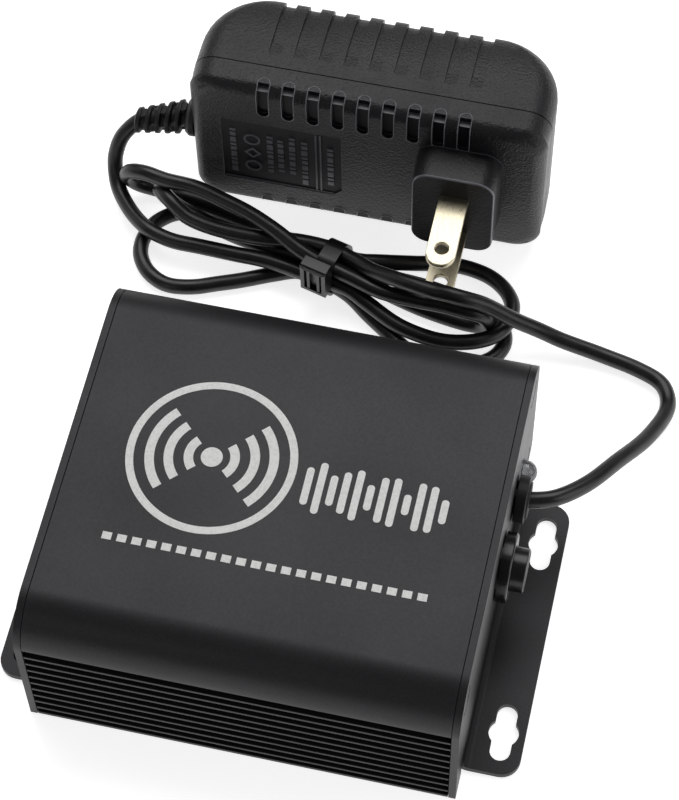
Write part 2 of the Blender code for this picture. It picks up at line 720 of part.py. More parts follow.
def strain_relief(mat):
    """Ribbed boot on the adapter's left end, drooping a little under the cord."""
    start = Vector(BOOT_START)
    end = Vector(BOOT_END)
    stations = []
    for reach, radius in ((4.6, 4.2), (3.6, 4.2), (3.5, 3.0), (0.1, 3.0), (0.0, BOOT_FLANGE),
                          (-0.1, BOOT_FLANGE), (-1.2, BOOT_FLANGE), (-1.3, BOOT_CORE)):
        stations.append((start + Vector((reach * MM, 0, 0)), radius))
    bend = start + Vector((-2.4 * MM, 0, -0.2 * MM))
    for i in range(BOOT_RIBS):
        rib = BOOT_RIB_FIRST + (BOOT_RIB_LAST - BOOT_RIB_FIRST) * i / (BOOT_RIBS - 1)
        for part, radius in ((0.0, rib), (0.5, rib), (0.55, rib - BOOT_RIB_DEEP),
                             (0.95, rib - BOOT_RIB_DEEP)):
            stations.append((bend.lerp(end, (i + part) / BOOT_RIBS), radius))
    stations.append((end, BOOT_RIB_LAST))
    bm = sweep([spot for spot, _ in stations], [radius * MM for _, radius in stations], 14)
    add_object("strain_relief_boot", bm, mat)


# ------------------------------------------------------------------------ cord
ADAPTER_LEAD = [
    (-58.2, 94.45, 16.8), (-59.7, 94.1, 16.3), (-61.2, 93.0, 14.0), (-61.8, 91.5, 11.0),
    (-61.7, 90.1, 8.8), (-61.5, 88.7, 7.2),
]
BOX_LEAD = [
    (35.9, 67.2, 7.2), (40.0, 66.6, 5.9), (46.0, 65.9, 4.3), (54.0, 65.4, 2.6),
    (63.1, 63.7, 1.9), (68.9, 60.4, 1.9), (70.9, 54.4, 3.2), (67.4, 43.8, 8.2),
    (62.2, 33.9, 13.5), (56.9, 25.0, 17.5), (51.3, 19.2, 19.6), (46.2, 17.4, 20.0),
]
HANK_OUTLINE = [
    (-63.4, 84.0), (-62.6, 86.6), (-58.0, 87.1), (-51.0, 87.2), (-43.0, 86.6), (-34.5, 85.2),
    (-27.0, 82.4), (-20.0, 79.2), (-13.5, 77.6), (-9.0, 77.3), (-4.0, 77.8), (1.0, 79.2),
    (8.0, 80.6), (15.0, 81.1), (22.0, 81.2), (28.5, 81.0), (33.0, 79.0), (35.4, 74.0),
    (35.3, 68.0), (34.2, 62.0), (30.0, 57.0), (22.0, 54.6), (13.0, 55.2), (5.0, 60.0),
    (-1.0, 66.0), (-5.0, 69.3), (-9.0, 69.9), (-13.5, 69.4), (-21.0, 67.4), (-28.0, 65.0),
    (-36.0, 61.3), (-44.0, 60.9), (-50.5, 63.6), (-54.2, 69.0), (-57.0, 75.4), (-61.0, 80.0),
]


def power_cord(mats):
    lead = mats["cord"]
    cord("adapter_lead", [(x * MM, y * MM, z * MM) for x, y, z in ADAPTER_LEAD], lead)
    cord("box_lead", [(x * MM, y * MM, z * MM) for x, y, z in BOX_LEAD], lead)
    floor = 0.1 * MM
    hank = add_object(
        "cord_hank",
        prism([(x * MM, y * MM) for x, y in HANK_OUTLINE], HANK_TOP - floor, base=floor), lead)
    x0, x1 = TIE_X
    y, z = TIE_YZ
    low = 0.1 * MM - z
    high = HANK_TOP + 1.6 * MM - z
    side = 5.5 * MM
    band = 1.2 * MM
    clear = band + GAP
    room = rounded(clear - side, side - clear, low + clear, high - clear, 2.0 * MM)
    wide = rounded(-12.0 * MM, 12.0 * MM, low - 2.0 * MM, high + 2.0 * MM, 1.0 * MM)
    bm = prism(wide, x1 - x0 + 2 * GAP, [room])
    cut(hank, add_object("tie_groove", bm, lead, (x0 - GAP, y, z), SIDEWAYS))

    outer = rounded(-side, side, low, high, 3.4 * MM)
    inner = rounded(band - side, side - band, low + band, high - band, 2.3 * MM)
    bm = prism(outer, x1 - x0, [inner])
    add_object("cable_tie_strap", bm, mats["nylon"], (x0, y, z), SIDEWAYS)
    bm = box(-2.9 * MM, 2.9 * MM, -1.9 * MM, 1.9 * MM, -3.2 * MM, 3.2 * MM)
    add_object("cable_tie_head", bm, mats["nylon"], (-10.6 * MM, 65.9 * MM, 8.4 * MM))


def build():
    clear_scene()
    mats = {
        "anodised": material("anodised_aluminium", (0.035, 0.034, 0.035), 0.6, 0.45),
        "black_plastic": material("black_plastic", (0.02, 0.02, 0.021), 0.0, 0.5),
        "gloss_plastic": material("gloss_plastic", (0.015, 0.015, 0.016), 0.0, 0.2),
        "clear_plastic": material("clear_plastic", (0.8, 0.8, 0.85), 0.0, 0.1),
        "rubber": material("rubber", (0.012, 0.012, 0.012), 0.0, 0.7),
        "nickel": material("nickel_plate", (0.66, 0.62, 0.52), 1.0, 0.3),
        "steel": material("steel", (0.55, 0.55, 0.56), 1.0, 0.35),
        "screw": material("black_steel", (0.05, 0.05, 0.05), 1.0, 0.4),
        "board": material("circuit_laminate", (0.03, 0.2, 0.07), 0.0, 0.4),
        "ferrite": material("ferrite", (0.05, 0.05, 0.055), 0.0, 0.6),
        "sleeve": material("capacitor_sleeve", (0.02, 0.03, 0.12), 0.0, 0.3),
        "cone": material("tweeter_cone", (0.1, 0.1, 0.1), 0.0, 0.8),
        "adapter_plastic": material("adapter_plastic", (0.025, 0.025, 0.027), 0.0, 0.5),
        "cord": material("cord_jacket", (0.018, 0.018, 0.02), 0.0, 0.4),
        "nylon": material("black_nylon", (0.02, 0.02, 0.02), 0.0, 0.4),
    }
    finned_case(mats["anodised"])
    right, left = end_plates(mats["anodised"])
    screws(mats["screw"], right, left)
    switch(mats, right)
    grommet_and_led(mats, right)
    circuit(mats)
    tweeters(mats, left)
    adapter(mats)
    strain_relief(mats["rubber"])
    power_cord(mats)


build()
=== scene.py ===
"""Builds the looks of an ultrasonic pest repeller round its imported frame."""
import math

import bmesh
import bpy
import numpy as np
from bpy.props import FloatProperty, FloatVectorProperty, PointerProperty
from mathutils import Matrix, Vector


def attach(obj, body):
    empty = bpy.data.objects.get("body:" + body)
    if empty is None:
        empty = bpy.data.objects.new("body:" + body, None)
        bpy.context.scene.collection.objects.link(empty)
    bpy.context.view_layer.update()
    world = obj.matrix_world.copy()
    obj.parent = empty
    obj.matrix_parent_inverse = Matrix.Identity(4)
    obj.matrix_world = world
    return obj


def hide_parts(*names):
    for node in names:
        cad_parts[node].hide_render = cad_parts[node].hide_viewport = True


bl_info = {
    "name": "Ultrasonic pest repeller",
    "version": (1, 0, 0),
    "blender": (4, 5, 0),
    "location": "3D View > Sidebar > Repeller",
    "description": "Finned box, wall adapter and tied cord with their finishes",
    "category": "Object",
}

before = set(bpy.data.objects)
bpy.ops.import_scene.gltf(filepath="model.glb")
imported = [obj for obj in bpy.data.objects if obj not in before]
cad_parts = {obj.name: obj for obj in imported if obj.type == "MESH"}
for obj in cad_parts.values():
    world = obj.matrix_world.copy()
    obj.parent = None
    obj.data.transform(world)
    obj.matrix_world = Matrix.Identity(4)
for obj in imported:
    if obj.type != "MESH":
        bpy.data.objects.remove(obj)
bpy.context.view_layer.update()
MM = 0.001
NEAR = 0.1
BODY = "repeller"

# The finned box, in millimetres
CASE = ((-43.6, -41.7, 0.0), (41.4, 41.7, 39.8))
SEAM_FILL = 0.2
EDGE_RADIUS = 9.6
EDGE_STEPS = 18
FIN_ROOT = 39.7
FIN_TOP = 30.2
FIN_LEVELS = [FIN_TOP - 3.0 * i for i in range(1, 10)]
FIN_HALF = 0.4
LIP_TOP = 1.0
SHEET = 1.5
BEND = 3.0
FOOT_SPAN = (-35.3, 27.2)
RELIEF = 0.8
FOOT_CORNER = 4.0
FOOT_END = 54.5
KEYHOLES = (-26.1, 17.7)
KEYHOLE_X = 50.0
KEYHOLE_RADIUS = 3.1
LOBE_RADIUS = 2.1
LOBE_REACH = 4.15
SCREWS = [(y, z) for y in (-34.6, 34.6) for z in (5.0, 33.2)]

# Parts on the right end: (y, z)
SWITCH = (1.45, 20.0)
GROMMET = (17.4, 20.0)
LAMP = (25.9, 16.0)
RIGHT_FACE = 43.2
LEFT_FACE = -45.4
SEAT = RIGHT_FACE + 0.3
FLANGE = 2.3
TWEETERS = (-19.5, 19.5)

# The print on the box
INK_LEVEL = 39.83
INK_DEPTH = 0.05
HUB = (-16.2, 3.1)
RING = (15.6, 17.2)
ARCS = (4.6, 8.6, 12.4)
ARC_HALF = 44
BAR_WIDTH = 1.5
DASH_ROW = (-19.0, -17.4)

# The wall adapter
ADAPTER = ((-43.45, 89.8, 0.0), (35.35, 117.0, 43.3))
SEAM = 96.7
SEAM_HALF = 0.1
SLOT_PITCH = 5.5
SLOTS = [-26.7 + SLOT_PITCH * i for i in range(9)]
SLOT_HALF = 1.35
SLOT_DROPS = (9.1, 4.4)
SLOT_DEPTHS = (1.5, 0.6)
SLOT_STEP = 92.2
SLOT_END = 93.4
GROOVE_START = 100.2
FACE_ROUND = 3.0
BACK_ROUND = (14.5, 13.5, 4.2)
LABEL_PANEL = ((-36.5, 9.0), (-9.5, 31.0))
LABEL_ROWS = (-33.9, -25.6, -23.2, -20.6, -17.8, -12.0)
LABEL_DEPTH = 0.4
PRONG_BLOCK = ((7.6, 81.8, 8.7), (26.2, 89.9, 34.9))
BLADE_X = 17.2
BLADE_LEVELS = {"upper": 27.5, "lower": 14.8}
BLADE_RUN = (64.1, 82.4)
BLADE_WIDTH = 6.35
BLADE_THICKNESS = 1.5
BLADE_HOLE = 68.6
BOOT_START = (-43.75, 96.7, 20.0)
BOOT_END = (-57.5, 94.6, 17.0)
BOOT_RIBS = 5

# The cord
CORD_RADIUS = 1.75
TIE_CENTRE = (-9.2, 73.1, 6.1)
TIE_TURN = math.radians(-15)
PACK = 3.75
STRAP_RADIUS = 7.0
STRAP_WIDTH = 4.3
STRAP_THICKNESS = 0.95
TIE_HEAD = ((-2.4, -7.9, 6.2), (3.8, -4.5, 15.4))

# The camera (degrees, then millimetres) and the lights (metres, then watts)
CAMERA_TURN = (60.111, 13.874, -1.412)
CAMERA_SPOT = (71.14, -243.61, 514.44)
CAMERA_LENS = 122.676
LIT_POINT = (0, 0.03, 0.02)
LIGHTS = (
    ("top_softbox", (-0.1, 0.7, 1.1), (1.4, 0.9), 11),
    ("right_softbox", (1.1, -0.1, 0.55), (0.8, 0.8), 3.5),
    ("left_softbox", (-1.2, 0.2, 0.5), (0.8, 0.8), 1.2),
    ("front_fill", (-0.5, -1.1, 0.9), (0.5, 0.4), 0.8),
)


# ------------------------------------------------------------- small helpers
def linear(code):
    """An sRGB hex colour as linear red, green and blue."""
    parts = [int(code[i:i + 2], 16) / 255 for i in (1, 3, 5)]
    return tuple(v / 12.92 if v <= 0.04045 else ((v + 0.055) / 1.055) ** 2.4 for v in parts)


def rgba(code):
    return (*linear(code), 1.0)


def leave_editing():
    bpy.ops.object.mode_set(mode="OBJECT")


def deselect():
    if bpy.context.object and bpy.context.object.mode != "OBJECT":
        leave_editing()
    bpy.ops.object.select_all(action="DESELECT")


def started(name, editing=True, scale=(1, 1, 1)):
    """Names and sizes the new primitive, puts its place in its mesh, and opens it for editing."""
    obj = bpy.context.object
    obj.name = obj.data.name = name
    obj.scale = scale
    bpy.ops.object.transform_apply(location=True, rotation=True, scale=True)
    if editing:
        bpy.ops.object.mode_set(mode="EDIT")
    return obj


def block(name, low, high, editing=True):
    """A box between two corners."""
    deselect()
    low, high = Vector(low) * MM, Vector(high) * MM
    bpy.ops.mesh.primitive_cube_add(size=1, location=(low + high) / 2)
    return started(name, editing, high - low)


TURNS = {"X": (0, math.pi / 2, 0), "Y": (-math.pi / 2, 0, 0), "Z": (0, 0, 0)}


def rod(name, centre, radius, depth, axis="X", sides=48, editing=True):
    """A round bar on centre."""
    deselect()
    bpy.ops.mesh.primitive_cone_add(
        vertices=sides, radius1=radius * MM, radius2=radius * MM, depth=depth * MM,
        location=Vector(centre) * MM, rotation=TURNS[axis])
    return started(name, editing)


def pick(obj, kind, test):
    """Selects what passes the test of its centre, in millimetres, and its direction."""
    bpy.ops.mesh.select_mode(type=kind)
    bpy.ops.mesh.select_all(action="DESELECT")
    bm = bmesh.from_edit_mesh(obj.data)
    items = {"FACE": bm.faces, "EDGE": bm.edges, "VERT": bm.verts}[kind]
    chosen = []
    for item in items:
        if kind == "FACE":
            centre, way = item.calc_center_median(), item.normal
        elif kind == "EDGE":
            first, last = (vert.co for vert in item.verts)
            centre, way = (first + last) / 2, (last - first).normalized()
        else:
            centre, way = item.co, item.normal
        if test(centre / MM, way):
            chosen.append(item)
    for item in chosen:
        item.select_set(True)
    bmesh.update_edit_mesh(obj.data)


def bevel(width, segments=3, affect="EDGES"):
    bpy.ops.mesh.bevel(offset=width * MM, segments=segments, affect=affect)


def bisect(point, normal):
    bpy.ops.mesh.select_all(action="SELECT")
    bpy.ops.mesh.bisect(plane_co=Vector(point) * MM, plane_no=normal)


def inset(width):
    bpy.ops.mesh.inset(thickness=width * MM)


def extrude(shift):
    move = {"value": Vector(shift) * MM}
    bpy.ops.mesh.extrude_region_move(TRANSFORM_OT_translate=move)


def use(obj, mod):
    bpy.context.view_layer.objects.active = obj
    bpy.ops.object.modifier_apply(modifier=mod.name)


def carve(obj, cutter, operation="DIFFERENCE"):
    """Cuts one solid with another, then throws the cutter away."""
    deselect()
    mod = obj.modifiers.new("carve", "BOOLEAN")
    mod.operation = operation
    mod.solver = "EXACT"
    mod.object = cutter
    use(obj, mod)
    bpy.data.objects.remove(cutter, do_unlink=True)


def join(pieces, name):
    deselect()
    for obj in pieces:
        obj.select_set(True)
    bpy.context.view_layer.objects.active = pieces[0]
    bpy.ops.object.join()
    pieces[0].name = pieces[0].data.name = name
    return pieces[0]


def repeated(obj, count, shift):
    """Copies a finished shape along a row, each copy with its own mesh."""
    deselect()
    copies = [obj]
    for i in range(1, count):
        twin = obj.copy()
        twin.data = obj.data.copy()
        bpy.context.collection.objects.link(twin)
        twin.data.transform(Matrix.Translation(Vector(shift) * MM * i))
        copies.append(twin)
    return join(copies, obj.name)


def finish_piece(obj, mats, body=BODY, replaces=(), edge=0.0, segments=2,
                 angle=35, edge_slot=-1, rest=30):
    """Softens sharp edges, smooths round faces, colours the piece and puts it on its body."""
    deselect()
    obj.select_set(True)
    bpy.context.view_layer.objects.active = obj
    mats = mats if isinstance(mats, (list, tuple)) else [mats]
    if len(obj.data.materials) == 0:
        for mat in mats:
            obj.data.materials.append(mat)
    bpy.ops.object.mode_set(mode="EDIT")
    bpy.ops.mesh.select_all(action="SELECT")
    bpy.ops.mesh.remove_doubles(threshold=1e-7)
    bpy.ops.mesh.normals_make_consistent(inside=False)
    leave_editing()
    if edge:
        mod = obj.modifiers.new("soft edges", "BEVEL")
        mod.width = edge * MM
        mod.segments = segments
        mod.limit_method = "ANGLE"
        mod.angle_limit = math.radians(angle)
        mod.material = edge_slot
        use(obj, mod)
    bpy.ops.object.shade_smooth_by_angle(angle=math.radians(rest))
    flat = obj.modifiers.new("flat faces", "WEIGHTED_NORMAL")
    flat.keep_sharp = True
    use(obj, flat)
    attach(obj, body)
    if replaces:
        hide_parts(*replaces)
    return obj


def add(tree, kind, inputs=None, stops=None, **settings):
    """Adds a node, sets it, and fills its inputs with values or links."""
    made = tree.nodes.new(kind)
    for name, value in settings.items():
        setattr(made, name, value)
    for name, value in (inputs or {}).items():
        if isinstance(value, bpy.types.NodeSocket):
            tree.links.new(value, made.inputs[name])
        else:
            made.inputs[name].default_value = value
    if stops:
        ramp = made.color_ramp.elements
        while len(ramp) < len(stops):
            ramp.new(0.5)
        for element, (place, colour) in zip(ramp, stops):
            element.position = place
            element.color = colour
    return made


def finish(name, colour, metallic=0.0, roughness=0.5, ior=1.5):
    """A new material with its shader's plain values set."""
    mat = bpy.data.materials.new(name)
    mat.use_nodes = True
    tree = mat.node_tree
    shader = tree.nodes["Principled BSDF"]
    shader.inputs["Base Color"].default_value = colour
    shader.inputs["Metallic"].default_value = metallic
    shader.inputs["Roughness"].default_value = roughness
    shader.inputs["IOR"].default_value = ior
    place = add(tree, "ShaderNodeTexCoord").outputs["Object"]
    return mat, tree, shader, place


def grey(value):
    return (value, value, value, 1.0)


def grain(tree, place, size, detail=2.0):
    """Noise with spots of about the size, in metres."""
    inputs = {"Vector": place, "Scale": 1 / size, "Detail": detail}
    return add(tree, "ShaderNodeTexNoise", inputs).outputs["Fac"]


def relief(tree, shader, height, strength, distance):
    inputs = {"Height": height, "Strength": strength, "Distance": distance}
    bump = add(tree, "ShaderNodeBump", inputs)
    tree.links.new(bump.outputs["Normal"], shader.inputs["Normal"])


def gloss(tree, shader, value, low, high, start=0.3, end=0.7):
    """Lets the roughness drift between low and high."""
    rough = add(tree, "ShaderNodeMapRange", {
        "Value": value, "From Min": start, "From Max": end, "To Min": low, "To Max": high})
    tree.links.new(rough.outputs["Result"], shader.inputs["Roughness"])


def tint(tree, shader, value, *stops):
    ramp = add(tree, "ShaderNodeValToRGB", {"Fac": value}, stops)
    tree.links.new(ramp.outputs["Color"], shader.inputs["Base Color"])


# ----------------------------------------------------------------- materials
def anodised_aluminium():
    """Charcoal anodising over a fine bead blast: soft sheen, tiny sparkle, faint handling marks."""
    dark = tuple(bpy.context.scene.repeller_colours.anodised)
    light = tuple(v * 1.25 for v in dark)
    mat, tree, shader, place = finish("anodised_aluminium", grey(0.03), 0.5, 0.42, 1.4)
    blast = grain(tree, place, 0.0005)
    tint(tree, shader, blast, (0.35, (*dark, 1.0)), (0.7, (*light, 1.0)))
    gloss(tree, shader, grain(tree, place, 0.03, 3.0), 0.40, 0.48)
    relief(tree, shader, blast, 0.25, 0.00004)
    return mat


def moulded_abs(name, code, roughness, pit, depth):
    """Spark-eroded ABS: a fine pitted skin that scatters the lamp into a soft grey."""
    mat, tree, shader, place = finish(name, rgba(code), 0.0, roughness, 1.42)
    gloss(tree, shader, grain(tree, place, 0.02), roughness - 0.05, roughness + 0.06)
    relief(tree, shader, grain(tree, place, pit, 3.0), 0.5, depth)
    return mat


def polished_plastic(name, code, roughness):
    """Smooth moulded plastic with a bright highlight and the faintest ripple of the mould."""
    mat, tree, shader, place = finish(name, rgba(code), 0.0, roughness)
    relief(tree, shader, grain(tree, place, 0.003, 1.0), 0.15, 0.00003)
    return mat


def pvc_jacket():
    """Black PVC cord jacket: satin, with slight ripples where the cores press through."""
    mat, tree, shader, place = finish("pvc_cord_jacket", rgba("#141416"), 0.0, 0.36)
    ripple = grain(tree, place, 0.004)
    tint(tree, shader, grain(tree, place, 0.0007), (0.4, rgba("#131315")), (0.8, rgba("#1f1f22")))
    gloss(tree, shader, ripple, 0.30, 0.42)
    relief(tree, shader, ripple, 0.3, 0.0001)
    return mat


def nickel_plate():
    """Nickel over brass: warm and pale, with fine lengthwise drawing lines."""
    mat, tree, shader, place = finish("nickel_plated_brass", rgba("#cdc4ab"), 1.0, 0.32)
    stretch = add(tree, "ShaderNodeMapping", {"Vector": place, "Scale": (6000.0, 300.0, 6000.0)})
    lines = grain(tree, stretch.outputs["Vector"], 1.0, 3.0)
    gloss(tree, shader, lines, 0.26, 0.4)
    relief(tree, shader, lines, 0.15, 0.00003)
    return mat


def screen_ink():
    """Pale screen-printed ink: flat, with pinholes where the blasted metal shows through."""
    ink = tuple(bpy.context.scene.repeller_colours.ink)
    worn = tuple(v * 0.9 for v in ink)
    mat, tree, shader, place = finish("screen_print_ink", grey(0.6), 0.0, 0.6)
    tint(tree, shader, grain(tree, place, 0.0006, 3.0), (0.38, (*worn, 1.0)), (0.55, (*ink, 1.0)))
    return mat


def clear_epoxy():
    """Cast clear epoxy of the lamp's dome: glassy, with a faint uneven haze."""
    mat, tree, shader, place = finish("clear_epoxy", rgba("#dfe2e6"), 0.0, 0.06, 1.54)
    shader.inputs["Transmission Weight"].default_value = 0.85
    gloss(tree, shader, grain(tree, place, 0.002, 1.0), 0.03, 0.12, 0.0, 1.0)
    return mat


def speckled(name, low, high, size, metallic, roughness):
    """A plain material with a grain of its own size: solder mask, ferrite, fibre, plated steel."""
    mat, tree, shader, place = finish(name, rgba(high), metallic, roughness)
    spots = grain(tree, place, size, 3.0)
    tint(tree, shader, spots, (0.35, rgba(low)), (0.65, rgba(high)))
    relief(tree, shader, spots, 0.2, 0.00005)
    return mat


def lit_acrylic():
    """Frosted acrylic lit from below: white everywhere, with only the softest shadows."""
    mat, tree, shader, place = finish("lit_acrylic_table", rgba("#e6e6e6"), 0.0, 0.9)
    shader.inputs["Emission Color"].default_value = grey(1.0)
    shader.inputs["Emission Strength"].default_value = 0.78
    relief(tree, shader, grain(tree, place, 0.002), 0.05, 0.0001)
    return mat


MATS = {}


def make_materials():
    """Makes every finish once, under the name of what wears it."""
    MATS["anodised"] = anodised_aluminium()
    MATS["shell"] = moulded_abs("textured_abs", "#17171a", 0.38, 0.0005, 0.0004)
    # The rim colour is a light grey on black plastic: a painted highlight on slot edges, bevels and
    # beads.
    MATS["rim"] = polished_plastic("slot_rim_painted_highlight", "#6a6a70", 0.2)
    # The mark colour is a lighter grey than the black plastic of the raised marks: a painted
    # highlight on them.
    MATS["mark"] = polished_plastic("raised_mark_painted_highlight", "#5c5c62", 0.28)
    # The slot floor colour is a light grey on black plastic: painted light on the up-facing floors
    # of the top slots.
    MATS["slot_floor"] = polished_plastic("slot_floor_painted_light", "#58585c", 0.3)
    MATS["slot_shade"] = moulded_abs("shaded_slot_bottom", "#0c0c0e", 0.6, 0.0009, 0.0001)
    MATS["block"] = moulded_abs("fine_textured_abs", "#141416", 0.4, 0.0005, 0.0003)
    MATS["switch"] = polished_plastic("switch_plastic", "#111113", 0.25)
    MATS["cap"] = polished_plastic("cap_plastic", "#19191b", 0.28)
    MATS["rubber"] = moulded_abs("moulded_rubber", "#161617", 0.5, 0.0009, 0.00006)
    MATS["nylon"] = polished_plastic("black_nylon", "#131315", 0.34)
    MATS["cord"] = pvc_jacket()
    MATS["nickel"] = nickel_plate()
    MATS["ink"] = screen_ink()
    MATS["lamp"] = clear_epoxy()
    MATS["steel"] = speckled("spring_steel", "#7c7c7e", "#98989a", 0.0008, 1.0, 0.35)
    MATS["screw"] = speckled("black_zinc_steel", "#1e1e20", "#2e2e30", 0.0006, 0.8, 0.4)
    MATS["board"] = speckled("green_solder_mask", "#14552a", "#1b6a35", 0.004, 0.0, 0.35)
    MATS["ferrite"] = speckled("sintered_ferrite", "#2c2c2e", "#3c3c40", 0.0008, 0.0, 0.6)
    MATS["sleeve"] = speckled("shrunk_sleeve", "#10183e", "#1a2452", 0.002, 0.0, 0.3)
    MATS["cone"] = speckled("pressed_fibre", "#202020", "#303030", 0.0006, 0.0, 0.8)


# --------------------------------------------------------------------- cord
def tie(across, up):
    """A place inside the tie: across the bundle and up from its middle."""
    x, y, z = TIE_CENTRE
    return (x - across * math.sin(TIE_TURN), y + across * math.cos(TIE_TURN), z + up)


# The route from the adapter to the box, in millimetres. Each list but the last ends in the tie.
LEAD_IN = [
    (-52.9, 95.4, 18.1), (-57.0, 94.7, 17.1), (-60.6, 92.6, 13.2), (-62.0, 90.4, 9.2),
    (-61.9, 88.3, 6.2), (-60.2, 84.3, 4.0), (-55.8, 78.6, 4.3), (-50.7, 74.2, 5.4),
    (-44.8, 72.3, 5.5), (-38.1, 72.2, 5.4), (-30.0, 72.0, 5.4), (-21.8, 71.7, 5.6),
    tie(-PACK, 0),
]
RIGHT_LOOP = [
    (-3.4, 68.2, 6.0), (1.1, 65.9, 5.6), (8.1, 62.1, 5.2), (13.9, 60.3, 5.0),
    (20.2, 59.7, 4.9), (26.4, 60.8, 5.2), (31.0, 63.7, 5.0), (33.2, 68.2, 4.8),
    (33.2, 72.8, 4.0), (30.6, 77.2, 3.0), (26.2, 80.4, 2.2), (20.3, 81.8, 1.8),
    (14.5, 80.8, 2.6), (10.0, 79.3, 3.5), (2.6, 77.0, 5.0), (-2.8, 75.9, 5.6),
    tie(PACK, 0),
]
LEFT_LOOP = [
    (-20.5, 79.4, 4.5), (-28.5, 81.2, 2.5), (-36.5, 83.0, 1.8), (-42.0, 83.6, 1.8),
    (-46.6, 82.4, 1.8), (-49.9, 79.7, 1.8), (-51.6, 76.6, 1.8), (-52.3, 72.9, 1.8),
    (-51.5, 69.0, 1.8), (-48.6, 65.2, 1.8), (-43.9, 63.0, 1.8), (-38.2, 63.6, 1.8),
    (-32.8, 65.7, 1.8), (-27.5, 67.9, 1.8), (-21.0, 71.0, 1.8), (-15.6, 72.7, 2.2),
    tie(-PACK / 2, -3.3),
]
WIDE_LOOP = [
    (-3.3, 69.0, 2.2), (2.2, 64.9, 1.8), (8.4, 60.4, 1.8), (12.5, 57.6, 1.8),
    (17.5, 55.9, 1.8), (23.0, 55.9, 1.8), (28.0, 57.2, 1.8), (31.8, 60.0, 1.8),
    (33.3, 64.0, 1.8), (32.0, 68.0, 1.8), (28.4, 71.0, 1.8), (22.0, 73.0, 1.9),
    (14.0, 74.4, 2.2), (4.0, 74.8, 2.6), tie(PACK / 2, -3.3),
]
LONG_FOLD = [
    (-20.5, 78.4, 2.2), (-30.0, 81.4, 1.9), (-40.0, 84.2, 1.9), (-47.5, 85.6, 1.9),
    (-53.0, 86.2, 2.0), (-57.2, 85.8, 3.8), (-59.0, 84.9, 7.8), (-57.4, 83.8, 11.8),
    (-53.4, 82.9, 13.6), (-48.4, 82.0, 13.6), (-41.2, 81.9, 13.2), (-33.7, 80.3, 12.6),
    (-27.5, 78.6, 12.0), (-21.1, 75.9, 11.4), (-15.6, 73.3, 10.3), tie(-PACK / 2, 3.3),
]
RIGHT_FOLD = [
    (-2.0, 69.0, 9.4), (4.9, 66.6, 9.8), (12.6, 65.5, 10.7), (19.0, 64.9, 11.5),
    (24.4, 64.4, 11.5), (27.8, 64.9, 10.1), (29.2, 65.6, 6.7), (27.8, 66.4, 3.3),
    (24.4, 67.0, 1.9), (19.0, 67.8, 1.8), (13.0, 69.0, 1.9), (6.0, 70.8, 2.4),
    (-0.6, 72.2, 4.0), tie(0, 0),
]
MIDDLE_FOLD = [
    (-18.0, 75.6, 5.4), (-24.0, 77.0, 4.0), (-32.0, 79.4, 2.4), (-40.0, 82.0, 1.9),
    (-45.0, 83.6, 2.1), (-48.8, 84.8, 3.6), (-50.3, 84.6, 6.8), (-49.2, 82.6, 9.6),
    (-46.2, 79.6, 10.4), (-42.0, 76.9, 9.5), (-36.2, 75.5, 9.0), (-28.9, 75.1, 8.5),
    (-22.5, 75.4, 8.1), (-16.0, 75.9, 8.5), tie(PACK / 2, 3.3),
]
TO_BOX = [
    (-3.0, 72.4, 10.4), (1.6, 69.7, 11.9), (8.6, 66.6, 15.2), (15.8, 64.3, 17.4),
    (19.4, 64.1, 17.5), (23.4, 64.3, 16.6), (27.8, 65.3, 14.0), (34.0, 65.7, 9.8),
    (40.0, 66.2, 6.4), (45.4, 65.9, 4.4), (53.7, 65.4, 2.6), (63.1, 63.7, 1.9),
    (68.8, 60.9, 1.8), (70.6, 54.4, 3.0), (67.4, 43.8, 8.0), (62.2, 33.9, 13.5),
    (56.9, 25.0, 17.5), (51.3, 19.3, 19.7), (45.8, 17.4, 20.0), (43.0, 17.4, 20.0),
]


def smooth_path(knots, step):
    """Evenly spaced points on a smooth curve through the knots, in millimetres."""
    knots = np.asarray(knots, float)
    knots = np.vstack([2 * knots[0] - knots[1], knots, 2 * knots[-1] - knots[-2]])
    fine = []
    for a, b, c, d in zip(knots, knots[1:], knots[2:], knots[3:]):
        for t in np.linspace(0, 1, 24, endpoint=False):
            fine.append(0.5 * (2 * b + (c - a) * t + (2 * a - 5 * b + 4 * c - d) * t * t
                               + (3 * b - a - 3 * c + d) * t ** 3))
    fine = np.array([*fine, knots[-2]])
    reach = np.concatenate([[0], np.cumsum(np.linalg.norm(np.diff(fine, axis=0), axis=1))])
    marks = np.linspace(0, reach[-1], max(2, round(reach[-1] / step)) + 1)
    return np.stack([np.interp(marks, reach, fine[:, k]) for k in range(3)], axis=1)


def settle(line, rounds=220):
    """Lets the strands push each other apart and rest on the floor, keeping their route."""
    count = len(line)
    home = line.copy()
    index = np.arange(count)
    apart = np.abs(index[:, None] - index[None, :]) > 6
    held = (index < 6) | (index > count - 12)
    across = 2 * CORD_RADIUS
    for _ in range(rounds):
        gap = line[:, None, :] - line[None, :, :]
        far = np.linalg.norm(gap, axis=2) + 1e-9
        push = np.where(apart & (far < across), (across - far) / far, 0)[:, :, None] * gap
        line = line + 0.3 * push.sum(axis=1)
        line[1:-1] += 0.03 * (line[:-2] - 2 * line[1:-1] + line[2:])
        line[:, 2] = np.maximum(line[:, 2], CORD_RADIUS)
        shift = line - home
        for _ in range(3):
            soft = shift.copy()
            soft[1:-1] = 0.25 * shift[:-2] + 0.5 * shift[1:-1] + 0.25 * shift[2:]
            shift = soft
        shift *= 0.995
        shift[held] = 0
        line = home + shift
        line[:, 2] = np.maximum(line[:, 2], CORD_RADIUS)
    return line


def cord_route():
    """The settled line of the cord, from the box to the adapter, in millimetres."""
    knots = [*LEAD_IN, *RIGHT_LOOP, *LEFT_LOOP, *WIDE_LOOP, *LONG_FOLD, *RIGHT_FOLD,
             *MIDDLE_FOLD, *TO_BOX]
    rough = settle(smooth_path(knots, 2.0))
    return smooth_path(rough, 0.9)[::-1]


